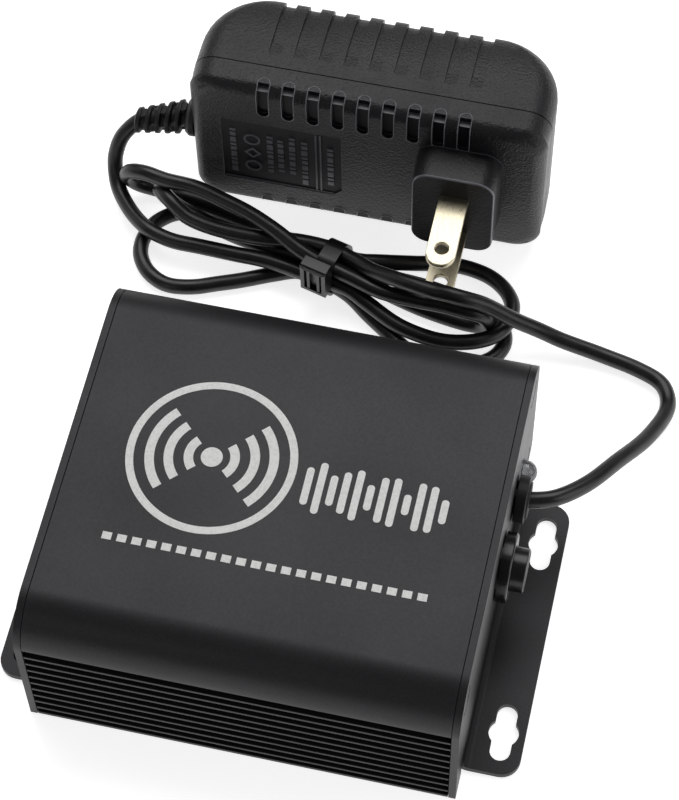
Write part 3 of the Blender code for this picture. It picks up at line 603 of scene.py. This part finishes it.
class REPELLER_OT_cord(bpy.types.Operator):
    """Lays the cord from the box, through the tie and its loops, to the adapter"""
    bl_idname = "repeller.cord"
    bl_label = "Power cord"

    def execute(self, context):
        line = cord_route() * MM
        data = bpy.data.curves.new("power_cord", "CURVE")
        data.dimensions = "3D"
        data.bevel_depth = context.scene.repeller_sizes.cord_diameter / 2
        data.bevel_resolution = 5
        data.use_fill_caps = True
        spline = data.splines.new("POLY")
        spline.points.add(len(line) - 1)
        for point, place in zip(spline.points, line):
            point.co = (*place, 1)
        spline.use_smooth = True
        obj = bpy.data.objects.new("power_cord", data)
        context.collection.objects.link(obj)
        data.materials.append(MATS["cord"])
        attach(obj, BODY)
        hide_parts("adapter_lead", "cord_hank", "box_lead")
        return {"FINISHED"}


# ---------------------------------------------------------------- finned box
class REPELLER_OT_case(bpy.types.Operator):
    """Extrudes the finned aluminium case, as a solid bar"""
    bl_idname = "repeller.case"
    bl_label = "Finned case"

    def execute(self, context):
        (x0, y0, z0), (x1, y1, z1) = CASE
        deselect()
        bpy.ops.mesh.primitive_plane_add(
            size=MM, location=((x0 - SEAM_FILL) * MM, 0, (z0 + z1) / 2 * MM),
            rotation=(0, math.pi / 2, 0))
        obj = started("case_extrusion", scale=(z1 - z0, y1 - y0, 1))
        pick(obj, "VERT", lambda c, n: c.z > z1 - NEAR)
        bevel(EDGE_RADIUS, EDGE_STEPS, "VERTICES")
        grooves = []
        top = FIN_TOP
        for level in FIN_LEVELS:
            grooves.append((level + FIN_HALF, top))
            top = level - FIN_HALF
        grooves.append((LIP_TOP, top))
        for low, high in grooves:
            bisect((0, 0, low), (0, 0, 1))
            bisect((0, 0, high), (0, 0, 1))
        for side in (-FIN_ROOT, FIN_ROOT):
            bisect((0, side, 0), (0, 1, 0))
        pick(obj, "FACE", lambda c, n: abs(c.y) > FIN_ROOT and any(
            low < c.z < high for low, high in grooves))
        bpy.ops.mesh.delete(type="FACE")
        bpy.ops.mesh.select_mode(type="FACE")
        bpy.ops.mesh.select_all(action="SELECT")
        bpy.ops.mesh.dissolve_limited(angle_limit=math.radians(0.5))
        bpy.ops.mesh.select_all(action="SELECT")
        extrude((x1 - x0 + 2 * SEAM_FILL, 0, 0))
        finish_piece(obj, MATS["anodised"], replaces=["finned_case"],
                     edge=0.14, segments=2)
        return {"FINISHED"}


def keyhole_cutter(x, y):
    """A round hole with a smaller lobe at its front and another at its back."""
    obj = rod("keyhole", (x, y, 0), KEYHOLE_RADIUS, 8, "Z", 40, editing=False)
    for side in (-1, 1):
        tip = y + side * LOBE_REACH
        carve(obj, rod("lobe", (x, tip, 0), LOBE_RADIUS, 8, "Z", 28, editing=False), "UNION")
        carve(obj, block("neck", (x - LOBE_RADIUS, min(y, tip), -4),
                         (x + LOBE_RADIUS, max(y, tip), 4), editing=False), "UNION")
    return obj


def plate(name, face, way, holes):
    """An upright plate, its foot spun round the bend and drawn out; way is +1 for the right."""
    (x0, y0, z0), (x1, y1, z1) = CASE
    back = face - way * SHEET
    obj = block(name, (min(face, back), y0, BEND), (max(face, back), y1, z1))
    pick(obj, "EDGE", lambda c, n: abs(n.x) > 0.9 and c.z > z1 - NEAR)
    bevel(EDGE_RADIUS, EDGE_STEPS)
    front, rear = FOOT_SPAN
    for level in (front - RELIEF, front, rear, rear + RELIEF):
        bisect((0, level, 0), (0, 1, 0))
    pick(obj, "FACE", lambda c, n: n.z < -0.9 and (c.y < front - RELIEF or c.y > rear + RELIEF))
    extrude((0, 0, -BEND))
    pick(obj, "FACE", lambda c, n: n.z < -0.9 and front < c.y < rear and c.z > 1)
    bpy.ops.mesh.spin(steps=9, angle=way * math.pi / 2,
                      center=Vector((face + way * SHEET, 0, BEND)) * MM, axis=(0, 1, 0))
    low = min(v.co.z for v in bmesh.from_edit_mesh(obj.data).verts) / MM
    if low < -NEAR:
        raise RuntimeError("the foot was bent the wrong way")
    pick(obj, "FACE", lambda c, n: n.x * way > 0.9 and abs(c.z - SHEET / 2) < NEAR)
    extrude((way * (FOOT_END - abs(face) - SHEET), 0, 0))
    pick(obj, "EDGE", lambda c, n: abs(n.z) > 0.9 and abs(c.x) > FOOT_END - NEAR)
    bevel(FOOT_CORNER, 8)
    leave_editing()
    for y in KEYHOLES:
        carve(obj, keyhole_cutter(way * KEYHOLE_X, y))
    for y, z, radius in holes:
        carve(obj, rod("hole", (face, y, z), radius, 6, "X", 48, editing=False))
    for y, z in SCREWS:
        carve(obj, rod("sink", (face, y, z), 3.0, 1.2, "X", 32, editing=False))
    return obj


def paint(obj, index, test):
    """Gives the faces that pass the test another of the piece's materials."""
    for polygon in obj.data.polygons:
        if test(polygon.center / MM, polygon.normal):
            polygon.material_index = index


class REPELLER_OT_end_plates(bpy.types.Operator):
    """Makes both end plates with their bent feet and keyholes"""
    bl_idname = "repeller.end_plates"
    bl_label = "End plates"

    def execute(self, context):
        jobs = [
            ("right_plate", RIGHT_FACE, 1, "right_end_plate",
             [(*SWITCH, 6.3), (*GROMMET, 4.0), (*LAMP, 2.8)]),
            ("left_plate", LEFT_FACE, -1, "left_end_plate",
             [(y, 19.6, 12.0) for y in TWEETERS]),
        ]
        for name, face, way, node, holes in jobs:
            obj = plate(name, face, way, holes)
            finish_piece(obj, MATS["anodised"], replaces=[node],
                         edge=0.22, segments=3, angle=40)
        return {"FINISHED"}


class REPELLER_OT_switch(bpy.types.Operator):
    """Turns the push switch's flange and its cap"""
    bl_idname = "repeller.switch"
    bl_label = "Push switch"

    def execute(self, context):
        y, z = SWITCH
        obj = rod("switch_bezel", (SEAT + FLANGE / 2, y, z), 7.3, FLANGE, "X", 64)
        pick(obj, "FACE", lambda c, n: n.x > 0.9)
        inset(2.3)
        extrude((-1.6, 0, 0))
        pick(obj, "EDGE", lambda c, n: c.x > SEAT + FLANGE - NEAR and abs(n.x) < 0.1
             and (Vector((c.y - y, c.z - z)).length > 7.0))
        bevel(0.5, 4)
        neck = rod("switch_neck", (SEAT - 2.0, y, z), 5.9, 4.4, "X", 48, editing=False)
        obj = join([obj, neck], "switch_bezel")
        finish_piece(obj, MATS["switch"], edge=0.1, segments=2)
        obj = rod("switch_button", (SEAT + 1.6, y, z), 4.6, 7.1, "X", 56)
        pick(obj, "FACE", lambda c, n: n.x > 0.9)
        inset(0.7)
        inset(0.9)
        bpy.ops.transform.translate(value=(-0.25 * MM, 0, 0))
        leave_editing()
        # The bore that leaves room for the spring
        carve(obj, rod("bore", (SEAT - 1.2, y, z), 3.8, 9.6, "X", 40, editing=False))
        finish_piece(obj, MATS["cap"], body="push_cap",
                     replaces=["switch_cap"], edge=0.25, segments=3)
        return {"FINISHED"}


class REPELLER_OT_grommet_and_lamp(bpy.types.Operator):
    """Makes the cord grommet and the domed lamp"""
    bl_idname = "repeller.grommet_and_lamp"
    bl_label = "Grommet and lamp"

    def execute(self, context):
        y, z = GROMMET
        obj = rod("grommet", (SEAT + FLANGE / 2, y, z), 5.0, FLANGE, "X", 56)
        pick(obj, "FACE", lambda c, n: n.x > 0.9)
        inset(1.1)
        extrude((0.5, 0, 0))
        inset(2.0)
        extrude((-1.6, 0, 0))
        finish_piece(obj, MATS["rubber"], replaces=["cord_grommet"], edge=0.35,
                     segments=4)
        y, z = LAMP
        obj = rod("lamp_dome", (RIGHT_FACE - 0.85, y, z), 2.5, 8.1, "X", 40)
        pick(obj, "EDGE", lambda c, n: c.x > RIGHT_FACE + 3 and abs(n.x) < 0.1)
        bevel(2.45, 10)
        finish_piece(obj, MATS["lamp"], replaces=["status_led"])
        return {"FINISHED"}


# -------------------------------------------------------------------- print
def wave(name, centre, inner, outer, first, last, steps=40):
    """A flat printed arc, spun round its centre."""
    x, y = centre
    deselect()
    middle = (inner + outer) / 2
    bpy.ops.mesh.primitive_plane_add(
        size=MM, location=Vector((x + middle, y, INK_LEVEL)) * MM, rotation=(math.pi / 2, 0, 0))
    obj = started(name, scale=(outer - inner, INK_DEPTH, 1))
    bpy.ops.mesh.select_all(action="SELECT")
    turn = Matrix.Rotation(math.radians(first), 4, "Z")
    hub = Matrix.Translation(Vector((x, y, 0)) * MM)
    bm = bmesh.from_edit_mesh(obj.data)
    bmesh.ops.transform(bm, matrix=hub @ turn @ hub.inverted(), verts=bm.verts)
    bmesh.update_edit_mesh(obj.data)
    bpy.ops.mesh.spin(steps=steps, angle=-math.radians(last - first),
                      center=Vector((x, y, INK_LEVEL)) * MM, axis=(0, 0, 1))
    leave_editing()
    return obj


class REPELLER_OT_print(bpy.types.Operator):
    """Prints a plain ring with sound waves, a row of level bars and a dashed rule on the top"""
    bl_idname = "repeller.print"
    bl_label = "Printed marks"

    def execute(self, context):
        low, high = INK_LEVEL - INK_DEPTH / 2, INK_LEVEL + INK_DEPTH / 2
        parts = [wave("ring", HUB, *RING, 0, 360, 96)]
        for radius in ARCS:
            for middle in (0, 180):
                parts.append(wave("arc", HUB, radius - 0.9, radius + 1.0, middle - ARC_HALF,
                                  middle + ARC_HALF))
        parts.append(rod("dot", (*HUB, INK_LEVEL), 2.2, INK_DEPTH, "Z", 40, editing=False))
        for i in range(12):
            x = 3.0 + 2.5 * i
            tall = 2.2 + 3.6 * abs(math.sin(1.1 * i + 0.6))
            bar = block("bar", (x, 0.8 - tall, low), (x + BAR_WIDTH, 0.8 + tall, high))
            pick(bar, "EDGE", lambda c, n: abs(n.z) > 0.9)
            bevel(0.7, 5)
            leave_editing()
            parts.append(bar)
        front, back = DASH_ROW
        for i in range(22):
            x = -33.0 + 3.0 * i
            parts.append(block("dash", (x, front, low), (x + 1.9, back, high), editing=False))
        obj = join(parts, "printed_marks")
        finish_piece(obj, MATS["ink"])
        return {"FINISHED"}


# -------------------------------------------------------------- wall adapter
def shell(name, near, rings):
    """A solid rounded box grown from its seam face in rings of (y, side inset, top inset)."""
    (x0, _, z0), (x1, _, z1) = ADAPTER
    middle = Vector(((x0 + x1) / 2, near, (z0 + z1) / 2)) * MM
    deselect()
    bpy.ops.mesh.primitive_plane_add(size=MM, location=middle, rotation=(math.pi / 2, 0, 0))
    obj = started(name, scale=(x1 - x0, z1 - z0, 1))
    pick(obj, "VERT", lambda c, n: True)
    bevel(5.5, 10, "VERTICES")
    bpy.ops.mesh.select_mode(type="FACE")
    bpy.ops.mesh.select_all(action="SELECT")
    at, wide, tall = near, x1 - x0, z1 - z0
    for y, side, top in rings:
        new_wide = x1 - x0 - 2 * side
        new_tall = z1 - z0 - 2 * top
        extrude((0, y - at, 0))
        bpy.ops.transform.resize(value=(new_wide / wide, 1, new_tall / tall),
                                 center_override=(middle.x, y * MM, middle.z))
        at, wide, tall = y, new_wide, new_tall
    bpy.ops.mesh.select_all(action="SELECT")
    bpy.ops.mesh.normals_make_consistent(inside=False)
    leave_editing()
    return obj


def slot_row(low, high, tip=None):
    """A row of alike cutters between two corners (y, z), rounded at the tip if it has one."""
    obj = block("slots", (SLOTS[0] - SLOT_HALF, *low), (SLOTS[0] + SLOT_HALF, *high))
    if tip is not None:
        pick(obj, "EDGE", lambda c, n: abs(n.y) > 0.9 and abs(c.z - tip) < NEAR)
        bevel(SLOT_HALF - 0.03, 5)
    leave_editing()
    return repeated(obj, len(SLOTS), (SLOT_PITCH, 0, 0))


def boot_hole():
    """A cutter for the hole that the boot leaves through."""
    return rod("boot hole", (ADAPTER[0][0], SEAM, 20), 3.6, 6, "X", 40, editing=False)


class REPELLER_OT_adapter(bpy.types.Operator):
    """Makes the wall adapter's two shells with their slots, grooves and label panel"""
    bl_idname = "repeller.adapter"
    bl_label = "Adapter shells"

    def execute(self, context):
        face = ADAPTER[0][1]
        top = ADAPTER[1][2]
        rings = [(face + FACE_ROUND, 0.25, 0.0)]
        for i in range(1, 8):
            turn = math.radians(90 * i / 7)
            inset = FACE_ROUND * (1 - math.cos(turn))
            rings.append((face + FACE_ROUND * (1 - math.sin(turn)), inset, inset))
        front = shell("adapter_front", SEAM - SEAM_HALF, rings)
        for mat in ("shell", "rim", "slot_floor", "slot_shade"):
            front.data.materials.append(MATS[mat])
        for side, deep, drop in zip((1, -1), SLOT_DEPTHS, SLOT_DROPS):
            edge = top if side > 0 else 0.0
            tip = edge - side * drop
            low, high = sorted((tip, edge + side * 3))
            carve(front, slot_row((face - 2, low), (face + 1.1 * deep / 1.5, high), tip))
            low, high = sorted((edge - side * deep, edge + side * 3))
            carve(front, slot_row((face - 2, low), (SLOT_STEP, high)))
        (x0, z0), (x1, z1) = LABEL_PANEL
        panel = block("panel", (x0, face - 1, z0), (x1, face + LABEL_DEPTH, z1))
        pick(panel, "EDGE", lambda c, n: abs(n.y) > 0.9 and c.x > x1 - 0.5 and c.z < z0 + 1)
        bevel(2.0, 1)
        leave_editing()
        carve(front, panel)
        carve(front, boot_hole())
        # The up-facing floors of the top slots get the light-grey slot floor material: painted
        # light.
        paint(front, 2, lambda c, n: n.z > 0.9 and 41 < c.z < 42.5 and abs(c.x - SLOTS[4]) < 24)
        paint(front, 3, lambda c, n: n.y < -0.9 and c.y > face + 0.3 and c.z < 42)
        # The front shell's bevels take the rim material, a light grey that is a painted highlight
        # along its edges.
        finish_piece(front, [], replaces=["adapter_front_case"],
                     edge=0.3, segments=3, angle=40, edge_slot=1)
        # The edge at the seam goes back to the shell's textured material, unlike the slots' edges,
        # whose light grey is a painted highlight
        paint(front, 0, lambda c, n: c.y > SEAM - 0.7)
        self.rims(face, top)

        back = ADAPTER[1][1]
        rings = [(SEAM + 3.0, 0.05, 0.0), *self.tail(back, 0)]
        rear = shell("adapter_rear", SEAM + SEAM_HALF, rings)
        for mat in ("shell", "slot_floor"):
            rear.data.materials.append(MATS[mat])
        core = shell("core", 99.4, [(103.4, 0.0, 0.5), *self.tail(back - 0.6, 0.5)])
        groove = block("groove", (SLOTS[0] - 0.9, GROOVE_START, -2), (SLOTS[0] + 1.8, 122, 46),
                       editing=False)
        grooves = repeated(groove, len(SLOTS), (SLOT_PITCH, 0, 0))
        # With the core taken away, the cutters reach only half a millimetre into the shell
        carve(grooves, core)
        carve(rear, grooves)
        carve(rear, boot_hole())
        finish_piece(rear, [], replaces=["adapter_rear_case"],
                     edge=0.2, segments=2, angle=40)
        self.label(face)
        return {"FINISHED"}

    def rims(self, face, top):
        """A thin light-grey bead round each slot, run over the case's rounded edge: a painted
        highlight on the slots' edges.
        """
        data = bpy.data.curves.new("slot_rim_highlights", "CURVE")
        data.dimensions = "3D"
        data.bevel_depth = 0.12 * MM
        data.bevel_resolution = 2
        bend = FACE_ROUND * math.pi / 2
        for under, drop in enumerate(SLOT_DROPS):
            flat = drop - FACE_ROUND
            full = flat + bend + SLOT_END - face - FACE_ROUND
            outline = []
            for k in range(60):
                turn = 2 * math.pi * k / 60
                side = math.cos(turn) * SLOT_HALF
                run = full / 2 - math.sin(turn) * SLOT_HALF
                run += math.copysign(full / 2 - SLOT_HALF, -math.sin(turn))
                outline.append((side, run))
            ring = []
            for (side, run), (_, after) in zip(outline, outline[1:] + outline[:1]):
                for part in range(12 if abs(after - run) > SLOT_HALF else 1):
                    at = run + (after - run) * part / 12
                    turn = min(max((at - flat) / FACE_ROUND, 0), math.pi / 2)
                    y = face + FACE_ROUND * (1 - math.cos(turn)) + max(at - flat - bend, 0)
                    z = top - FACE_ROUND * (1 - math.sin(turn)) - max(flat - at, 0)
                    ring.append((side, y, top - z if under else z))
            for x in SLOTS:
                spline = data.splines.new("POLY")
                spline.points.add(len(ring) - 1)
                spline.use_cyclic_u = True
                for point, (side, y, z) in zip(spline.points, ring):
                    point.co = (*(Vector((x + side, y, z)) * MM), 1)
        obj = bpy.data.objects.new("slot_rim_highlights", data)
        bpy.context.collection.objects.link(obj)
        data.materials.append(MATS["rim"])
        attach(obj, BODY)

    def tail(self, back, inset):
        """The rings of the rounded back, or of the same shape inset inside it."""
        deep, wide, tall = BACK_ROUND
        rings = []
        for i in range(12):
            turn = math.radians(90 * i / 11)
            rings.append((back - deep * (1 - math.sin(turn)),
                          0.1 + inset + wide * (1 - math.cos(turn)),
                          0.05 + inset + tall * (1 - math.cos(turn))))
        return rings

    def label(self, face):
        """Plain raised dashes, lines and shapes on the panel, with no lettering, coloured a light
        grey that is a painted highlight on the raised marks.
        """
        low, high = face + 0.15, face + LABEL_DEPTH + 0.02
        # The first line, along the panel's lower edge, is a painted highlight of that edge.
        boxes = [((-36.3, 9.05), (-11.4, 9.35))]
        for x in (-15.2, -14.2):
            boxes.append(((x - 0.18, 9.6), (x + 0.18, 30.4)))
        for k, x in enumerate(LABEL_ROWS):
            z = 27.6 - (k % 3) * 0.8
            i = 0
            while z > 12.0 + (k * 5) % 4:
                tall = 0.8 + 0.5 * ((i * 7 + k * 3) % 3)
                boxes.append(((x - 0.65, z - tall), (x + 0.65, z)))
                z -= tall + 0.55
                i += 1
        parts = []
        for (x0, z0), (x1, z1) in boxes:
            parts.append(block("mark", (x0, low, z0), (x1, high, z1), editing=False))
        for z, sides in ((24.5, 40), (19.5, 4), (14.6, 40)):
            ring = rod("mark", (-29.6, (low + high) / 2, z), 1.9, high - low, "Y", sides)
            pick(ring, "FACE", lambda c, n: abs(n.y) > 0.9)
            inset(0.45)
            bpy.ops.mesh.bridge_edge_loops()
            leave_editing()
            parts.append(ring)
        obj = join(parts, "label_marks")
        finish_piece(obj, MATS["mark"])


class REPELLER_OT_prongs(bpy.types.Operator):
    """Makes the block on the adapter's face and its two blades"""
    bl_idname = "repeller.prongs"
    bl_label = "Prong block and blades"

    def execute(self, context):
        low, high = (Vector(corner) for corner in PRONG_BLOCK)
        middle = (low + high) / 2
        obj = block("prong_mount", low, high)
        pick(obj, "EDGE", lambda c, n: abs(n.y) > 0.9)
        bevel(4.0, 8)
        pick(obj, "FACE", lambda c, n: n.y < -0.9)
        bpy.ops.transform.resize(value=(0.968, 1, 0.977),
                                 center_override=Vector((middle.x, low.y, middle.z)) * MM)
        pick(obj, "FACE", lambda c, n: n.y < -0.9)
        inset(0.5)
        # The block's bevels take the rim material, a light grey that is a painted highlight along
        # its edges.
        finish_piece(obj, (MATS["block"], MATS["rim"]),
                     replaces=["prong_block"], edge=0.35, segments=3, angle=50, edge_slot=1)
        half, thick = BLADE_WIDTH / 2, BLADE_THICKNESS / 2
        tip, root = BLADE_RUN
        for side, z in BLADE_LEVELS.items():
            obj = block(side + "_prong", (BLADE_X - half, tip, z - thick),
                        (BLADE_X + half, root, z + thick))
            pick(obj, "EDGE", lambda c, n: abs(n.z) > 0.9 and c.y < tip + 0.9)
            bevel(2.9, 8)
            pick(obj, "EDGE", lambda c, n: abs(n.z) < 0.1 and c.y < tip + 2.8 and abs(n.y) <= 0.99)
            bevel(0.5, 2)
            leave_editing()
            carve(obj, rod("hole", (BLADE_X, BLADE_HOLE, z), 1.6, 4, "Z", 32, editing=False))
            finish_piece(obj, MATS["nickel"], replaces=[side + "_blade"],
                         edge=0.12, segments=2)
        return {"FINISHED"}


class REPELLER_OT_boot(bpy.types.Operator):
    """Turns the ribbed strain-relief boot and leans it toward the cord"""
    bl_idname = "repeller.boot"
    bl_label = "Strain relief boot"

    def execute(self, context):
        start, end = Vector(BOOT_START), Vector(BOOT_END)
        reach = (end - start).length
        stations = [(0.0, 4.6), (-1.2, 4.6), (-2.2, 3.7)]
        pitch = (reach - 2.4) / BOOT_RIBS
        for i in range(BOOT_RIBS):
            near = -2.4 - i * pitch
            big = 3.95 - 0.24 * i
            stations += [(near, 2.35), (near - 0.42 * pitch, 2.35), (near - 0.5 * pitch, big),
                         (near - 0.92 * pitch, big - 0.1)]
        stations += [(-reach - 0.2, 2.0)]
        deselect()
        bpy.ops.mesh.primitive_circle_add(
            vertices=40, radius=3.3 * MM, fill_type="NGON", rotation=(0, -math.pi / 2, 0),
            location=(start + Vector((3.0, 0, 0))) * MM)
        obj = started("cord_boot")
        bpy.ops.mesh.select_mode(type="FACE")
        bpy.ops.mesh.select_all(action="SELECT")
        at, size = 3.0, 3.3
        for x, radius in [(0.1, 3.3), *stations]:
            extrude((x - at, 0, 0))
            centre = (start + Vector((x, 0, 0))) * MM
            bpy.ops.transform.resize(value=(1, radius / size, radius / size),
                                     center_override=centre)
            at, size = x, radius
        leave_editing()
        # Bridges join each rib to the next, by turns above and below or before and behind
        bridges = [obj]
        for i in range(BOOT_RIBS):
            near = start.x - 2.4 - i * pitch
            axis = 1 - i % 2
            for side in (-1, 1):
                low = [start.y - 1.1, start.z - 1.1]
                high = [start.y + 1.1, start.z + 1.1]
                middle = (start.y, start.z)[axis]
                low[axis], high[axis] = sorted(
                    (middle + side * 2.0, middle + side * (3.7 - 0.24 * i)))
                bridges.append(block("bridge", (near - 0.5 * pitch, *low), (near + 0.05, *high),
                                     editing=False))
        obj = join(bridges, "cord_boot")
        lean = (end - start) / reach
        # The boot leans over its first few millimetres and then runs straight at the cord
        for vert in obj.data.vertices:
            place = vert.co / MM - start
            run = max(0.0, -place.x - 1.0)
            ease = min(run / 3.0, 1.0)
            shift = Vector((run * (1 + lean.x), run * lean.y, run * lean.z)) * (0.5 + 0.5 * ease)
            vert.co = (start + place + shift) * MM
        finish_piece(obj, MATS["rubber"], replaces=["strain_relief_boot"],
                     edge=0.16, segments=2)
        return {"FINISHED"}


class REPELLER_OT_tie(bpy.types.Operator):
    """Wraps the cable tie's strap round the bundle and sets its head on the front"""
    bl_idname = "repeller.tie"
    bl_label = "Cable tie"

    def execute(self, context):
        place = (Matrix.Translation(Vector((TIE_CENTRE[0], TIE_CENTRE[1], 0)) * MM)
                 @ Matrix.Rotation(TIE_TURN, 4, "Z"))
        middle = TIE_CENTRE[2]
        obj = rod("tie_strap", (1.1, 0, middle), STRAP_RADIUS, STRAP_WIDTH, "X", 6)
        low = min(v.co.z for v in bmesh.from_edit_mesh(obj.data).verts) / MM
        if low > 0.5:
            raise RuntimeError("the strap stands on a flat of its six sides")
        pick(obj, "EDGE", lambda c, n: abs(n.x) > 0.9)
        bevel(2.3, 6)
        pick(obj, "FACE", lambda c, n: abs(n.x) > 0.9)
        inset(STRAP_THICKNESS)
        bpy.ops.mesh.bridge_edge_loops()
        leave_editing()
        obj.data.transform(place)
        finish_piece(obj, MATS["nylon"], replaces=["cable_tie_strap"],
                     edge=0.2, segments=2)
        obj = block("tie_head", *TIE_HEAD)
        pick(obj, "EDGE", lambda c, n: abs(n.x) > 0.9 and c.z > 10)
        bevel(0.6, 3)
        pick(obj, "FACE", lambda c, n: n.y < -0.9)
        inset(1.0)
        extrude((0, 1.0, 0))
        leave_editing()
        parts = [obj]
        for x in (-0.8, 1.6):
            parts.append(block("ridge", (x, -7.8, 7.3), (x + 0.7, -6.8, 14.3), editing=False))
        obj = join(parts, "tie_head")
        obj.data.transform(place)
        finish_piece(obj, MATS["nylon"], replaces=["cable_tie_head"],
                     edge=0.22, segments=2)
        return {"FINISHED"}


class REPELLER_OT_inner_parts(bpy.types.Operator):
    """Gives the carried-over parts inside the box and the adapter their finishes"""
    bl_idname = "repeller.inner_parts"
    bl_label = "Inner parts"

    def execute(self, context):
        looks = {
            "screw": ("_screw",),
            "nickel": ("switch_nut", "_terminal", "_grille"),
            "switch": ("switch_barrel", "switch_contact_block", "led_holder", "supply_connector",
                       "controller_chip", "drive_transistor", "_tweeter_frame"),
            "steel": ("switch_spring",),
            "rubber": ("inner_lead",),
            "board": ("circuit_board", "adapter_board"),
            "ferrite": ("transformer",),
            "sleeve": ("capacitor",),
            "cone": ("_tweeter_cone",),
        }
        for name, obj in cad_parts.items():
            for look, words in looks.items():
                if any(word in name for word in words):
                    for slot in obj.material_slots:
                        slot.material = MATS[look]
                    break
        return {"FINISHED"}


# -------------------------------------------------------------------- stage
def soft_light(name, place, size, power):
    """A rectangle of soft light that faces the object."""
    data = bpy.data.lights.new(name, "AREA")
    data.shape = "RECTANGLE"
    data.size, data.size_y = size
    data.energy = power
    lamp = bpy.data.objects.new(name, data)
    lamp.location = place
    lamp.rotation_euler = (Vector(LIT_POINT) - Vector(place)).to_track_quat("-Z", "Y").to_euler()
    bpy.context.collection.objects.link(lamp)


class REPELLER_OT_stage(bpy.types.Operator):
    """Sets the pale floor, the soft lights and the camera"""
    bl_idname = "repeller.stage"
    bl_label = "Stage"

    def execute(self, context):
        deselect()
        bpy.ops.mesh.primitive_plane_add(size=4.0, location=(0, 0, 0))
        floor = started("floor", editing=False)
        floor.data.materials.append(lit_acrylic())

        world = bpy.data.worlds.new("soft_room")
        world.use_nodes = True
        room = world.node_tree.nodes["Background"]
        room.inputs["Color"].default_value = grey(1.0)
        room.inputs["Strength"].default_value = 0.1
        context.scene.world = world
        for light in LIGHTS:
            soft_light(*light)

        lift, swing, roll = (math.radians(a) for a in CAMERA_TURN)
        ahead = Vector((-math.cos(lift) * math.sin(swing), math.cos(lift) * math.cos(swing),
                        -math.sin(lift)))
        right = ahead.cross(Vector((0, 0, 1))).normalized()
        up = right.cross(ahead)
        turned = (math.cos(roll) * right + math.sin(roll) * up,
                  -math.sin(roll) * right + math.cos(roll) * up, -ahead)
        data = bpy.data.cameras.new("camera")
        data.lens = CAMERA_LENS
        data.sensor_width = 36.0
        data.clip_start = 0.01
        camera = bpy.data.objects.new("camera", data)
        context.collection.objects.link(camera)
        spot = Matrix.Translation(Vector(CAMERA_SPOT) * MM)
        camera.matrix_world = spot @ Matrix(turned).transposed().to_4x4()
        context.scene.camera = camera
        context.scene.view_settings.view_transform = "Standard"
        return {"FINISHED"}


# ------------------------------------------------------------------- add-on
class RepellerSizes(bpy.types.PropertyGroup):
    cord_diameter: FloatProperty(
        name="Cord diameter", description="Outside diameter of the cord's jacket",
        default=0.0035, min=0.002, max=0.006, subtype="DISTANCE", unit="LENGTH", precision=4)


class RepellerColours(bpy.types.PropertyGroup):
    anodised: FloatVectorProperty(
        name="Anodising", description="Colour of the anodised case and plates",
        default=linear("#2b2a2c"), subtype="COLOR", size=3, min=0, max=1)
    ink: FloatVectorProperty(
        name="Print", description="Colour of the ink on the case",
        default=linear("#efefed"), subtype="COLOR", size=3, min=0, max=1)


OPERATORS = (
    REPELLER_OT_stage, REPELLER_OT_cord, REPELLER_OT_case, REPELLER_OT_end_plates,
    REPELLER_OT_switch, REPELLER_OT_grommet_and_lamp, REPELLER_OT_print, REPELLER_OT_adapter,
    REPELLER_OT_prongs, REPELLER_OT_boot, REPELLER_OT_tie, REPELLER_OT_inner_parts,
)


class REPELLER_PT_panel(bpy.types.Panel):
    """Lists the pieces and their settings"""
    bl_idname = "REPELLER_PT_panel"
    bl_label = "Pest repeller"
    bl_space_type = "VIEW_3D"
    bl_region_type = "UI"
    bl_category = "Repeller"

    def draw(self, context):
        scene = context.scene
        self.layout.prop(scene.repeller_sizes, "cord_diameter")
        self.layout.prop(scene.repeller_colours, "anodised")
        self.layout.prop(scene.repeller_colours, "ink")
        for kind in OPERATORS:
            self.layout.operator(kind.bl_idname)


CLASSES = (RepellerSizes, RepellerColours, *OPERATORS, REPELLER_PT_panel)


def register():
    for kind in CLASSES:
        bpy.utils.register_class(kind)
    bpy.types.Scene.repeller_sizes = PointerProperty(type=RepellerSizes)
    bpy.types.Scene.repeller_colours = PointerProperty(type=RepellerColours)


def unregister():
    del bpy.types.Scene.repeller_colours
    del bpy.types.Scene.repeller_sizes
    for kind in reversed(CLASSES):
        bpy.utils.unregister_class(kind)


def main():
    register()
    make_materials()
    for kind in OPERATORS:
        group, name = kind.bl_idname.split(".")
        getattr(getattr(bpy.ops, group), name)()


if __name__ == "__main__":
    main()
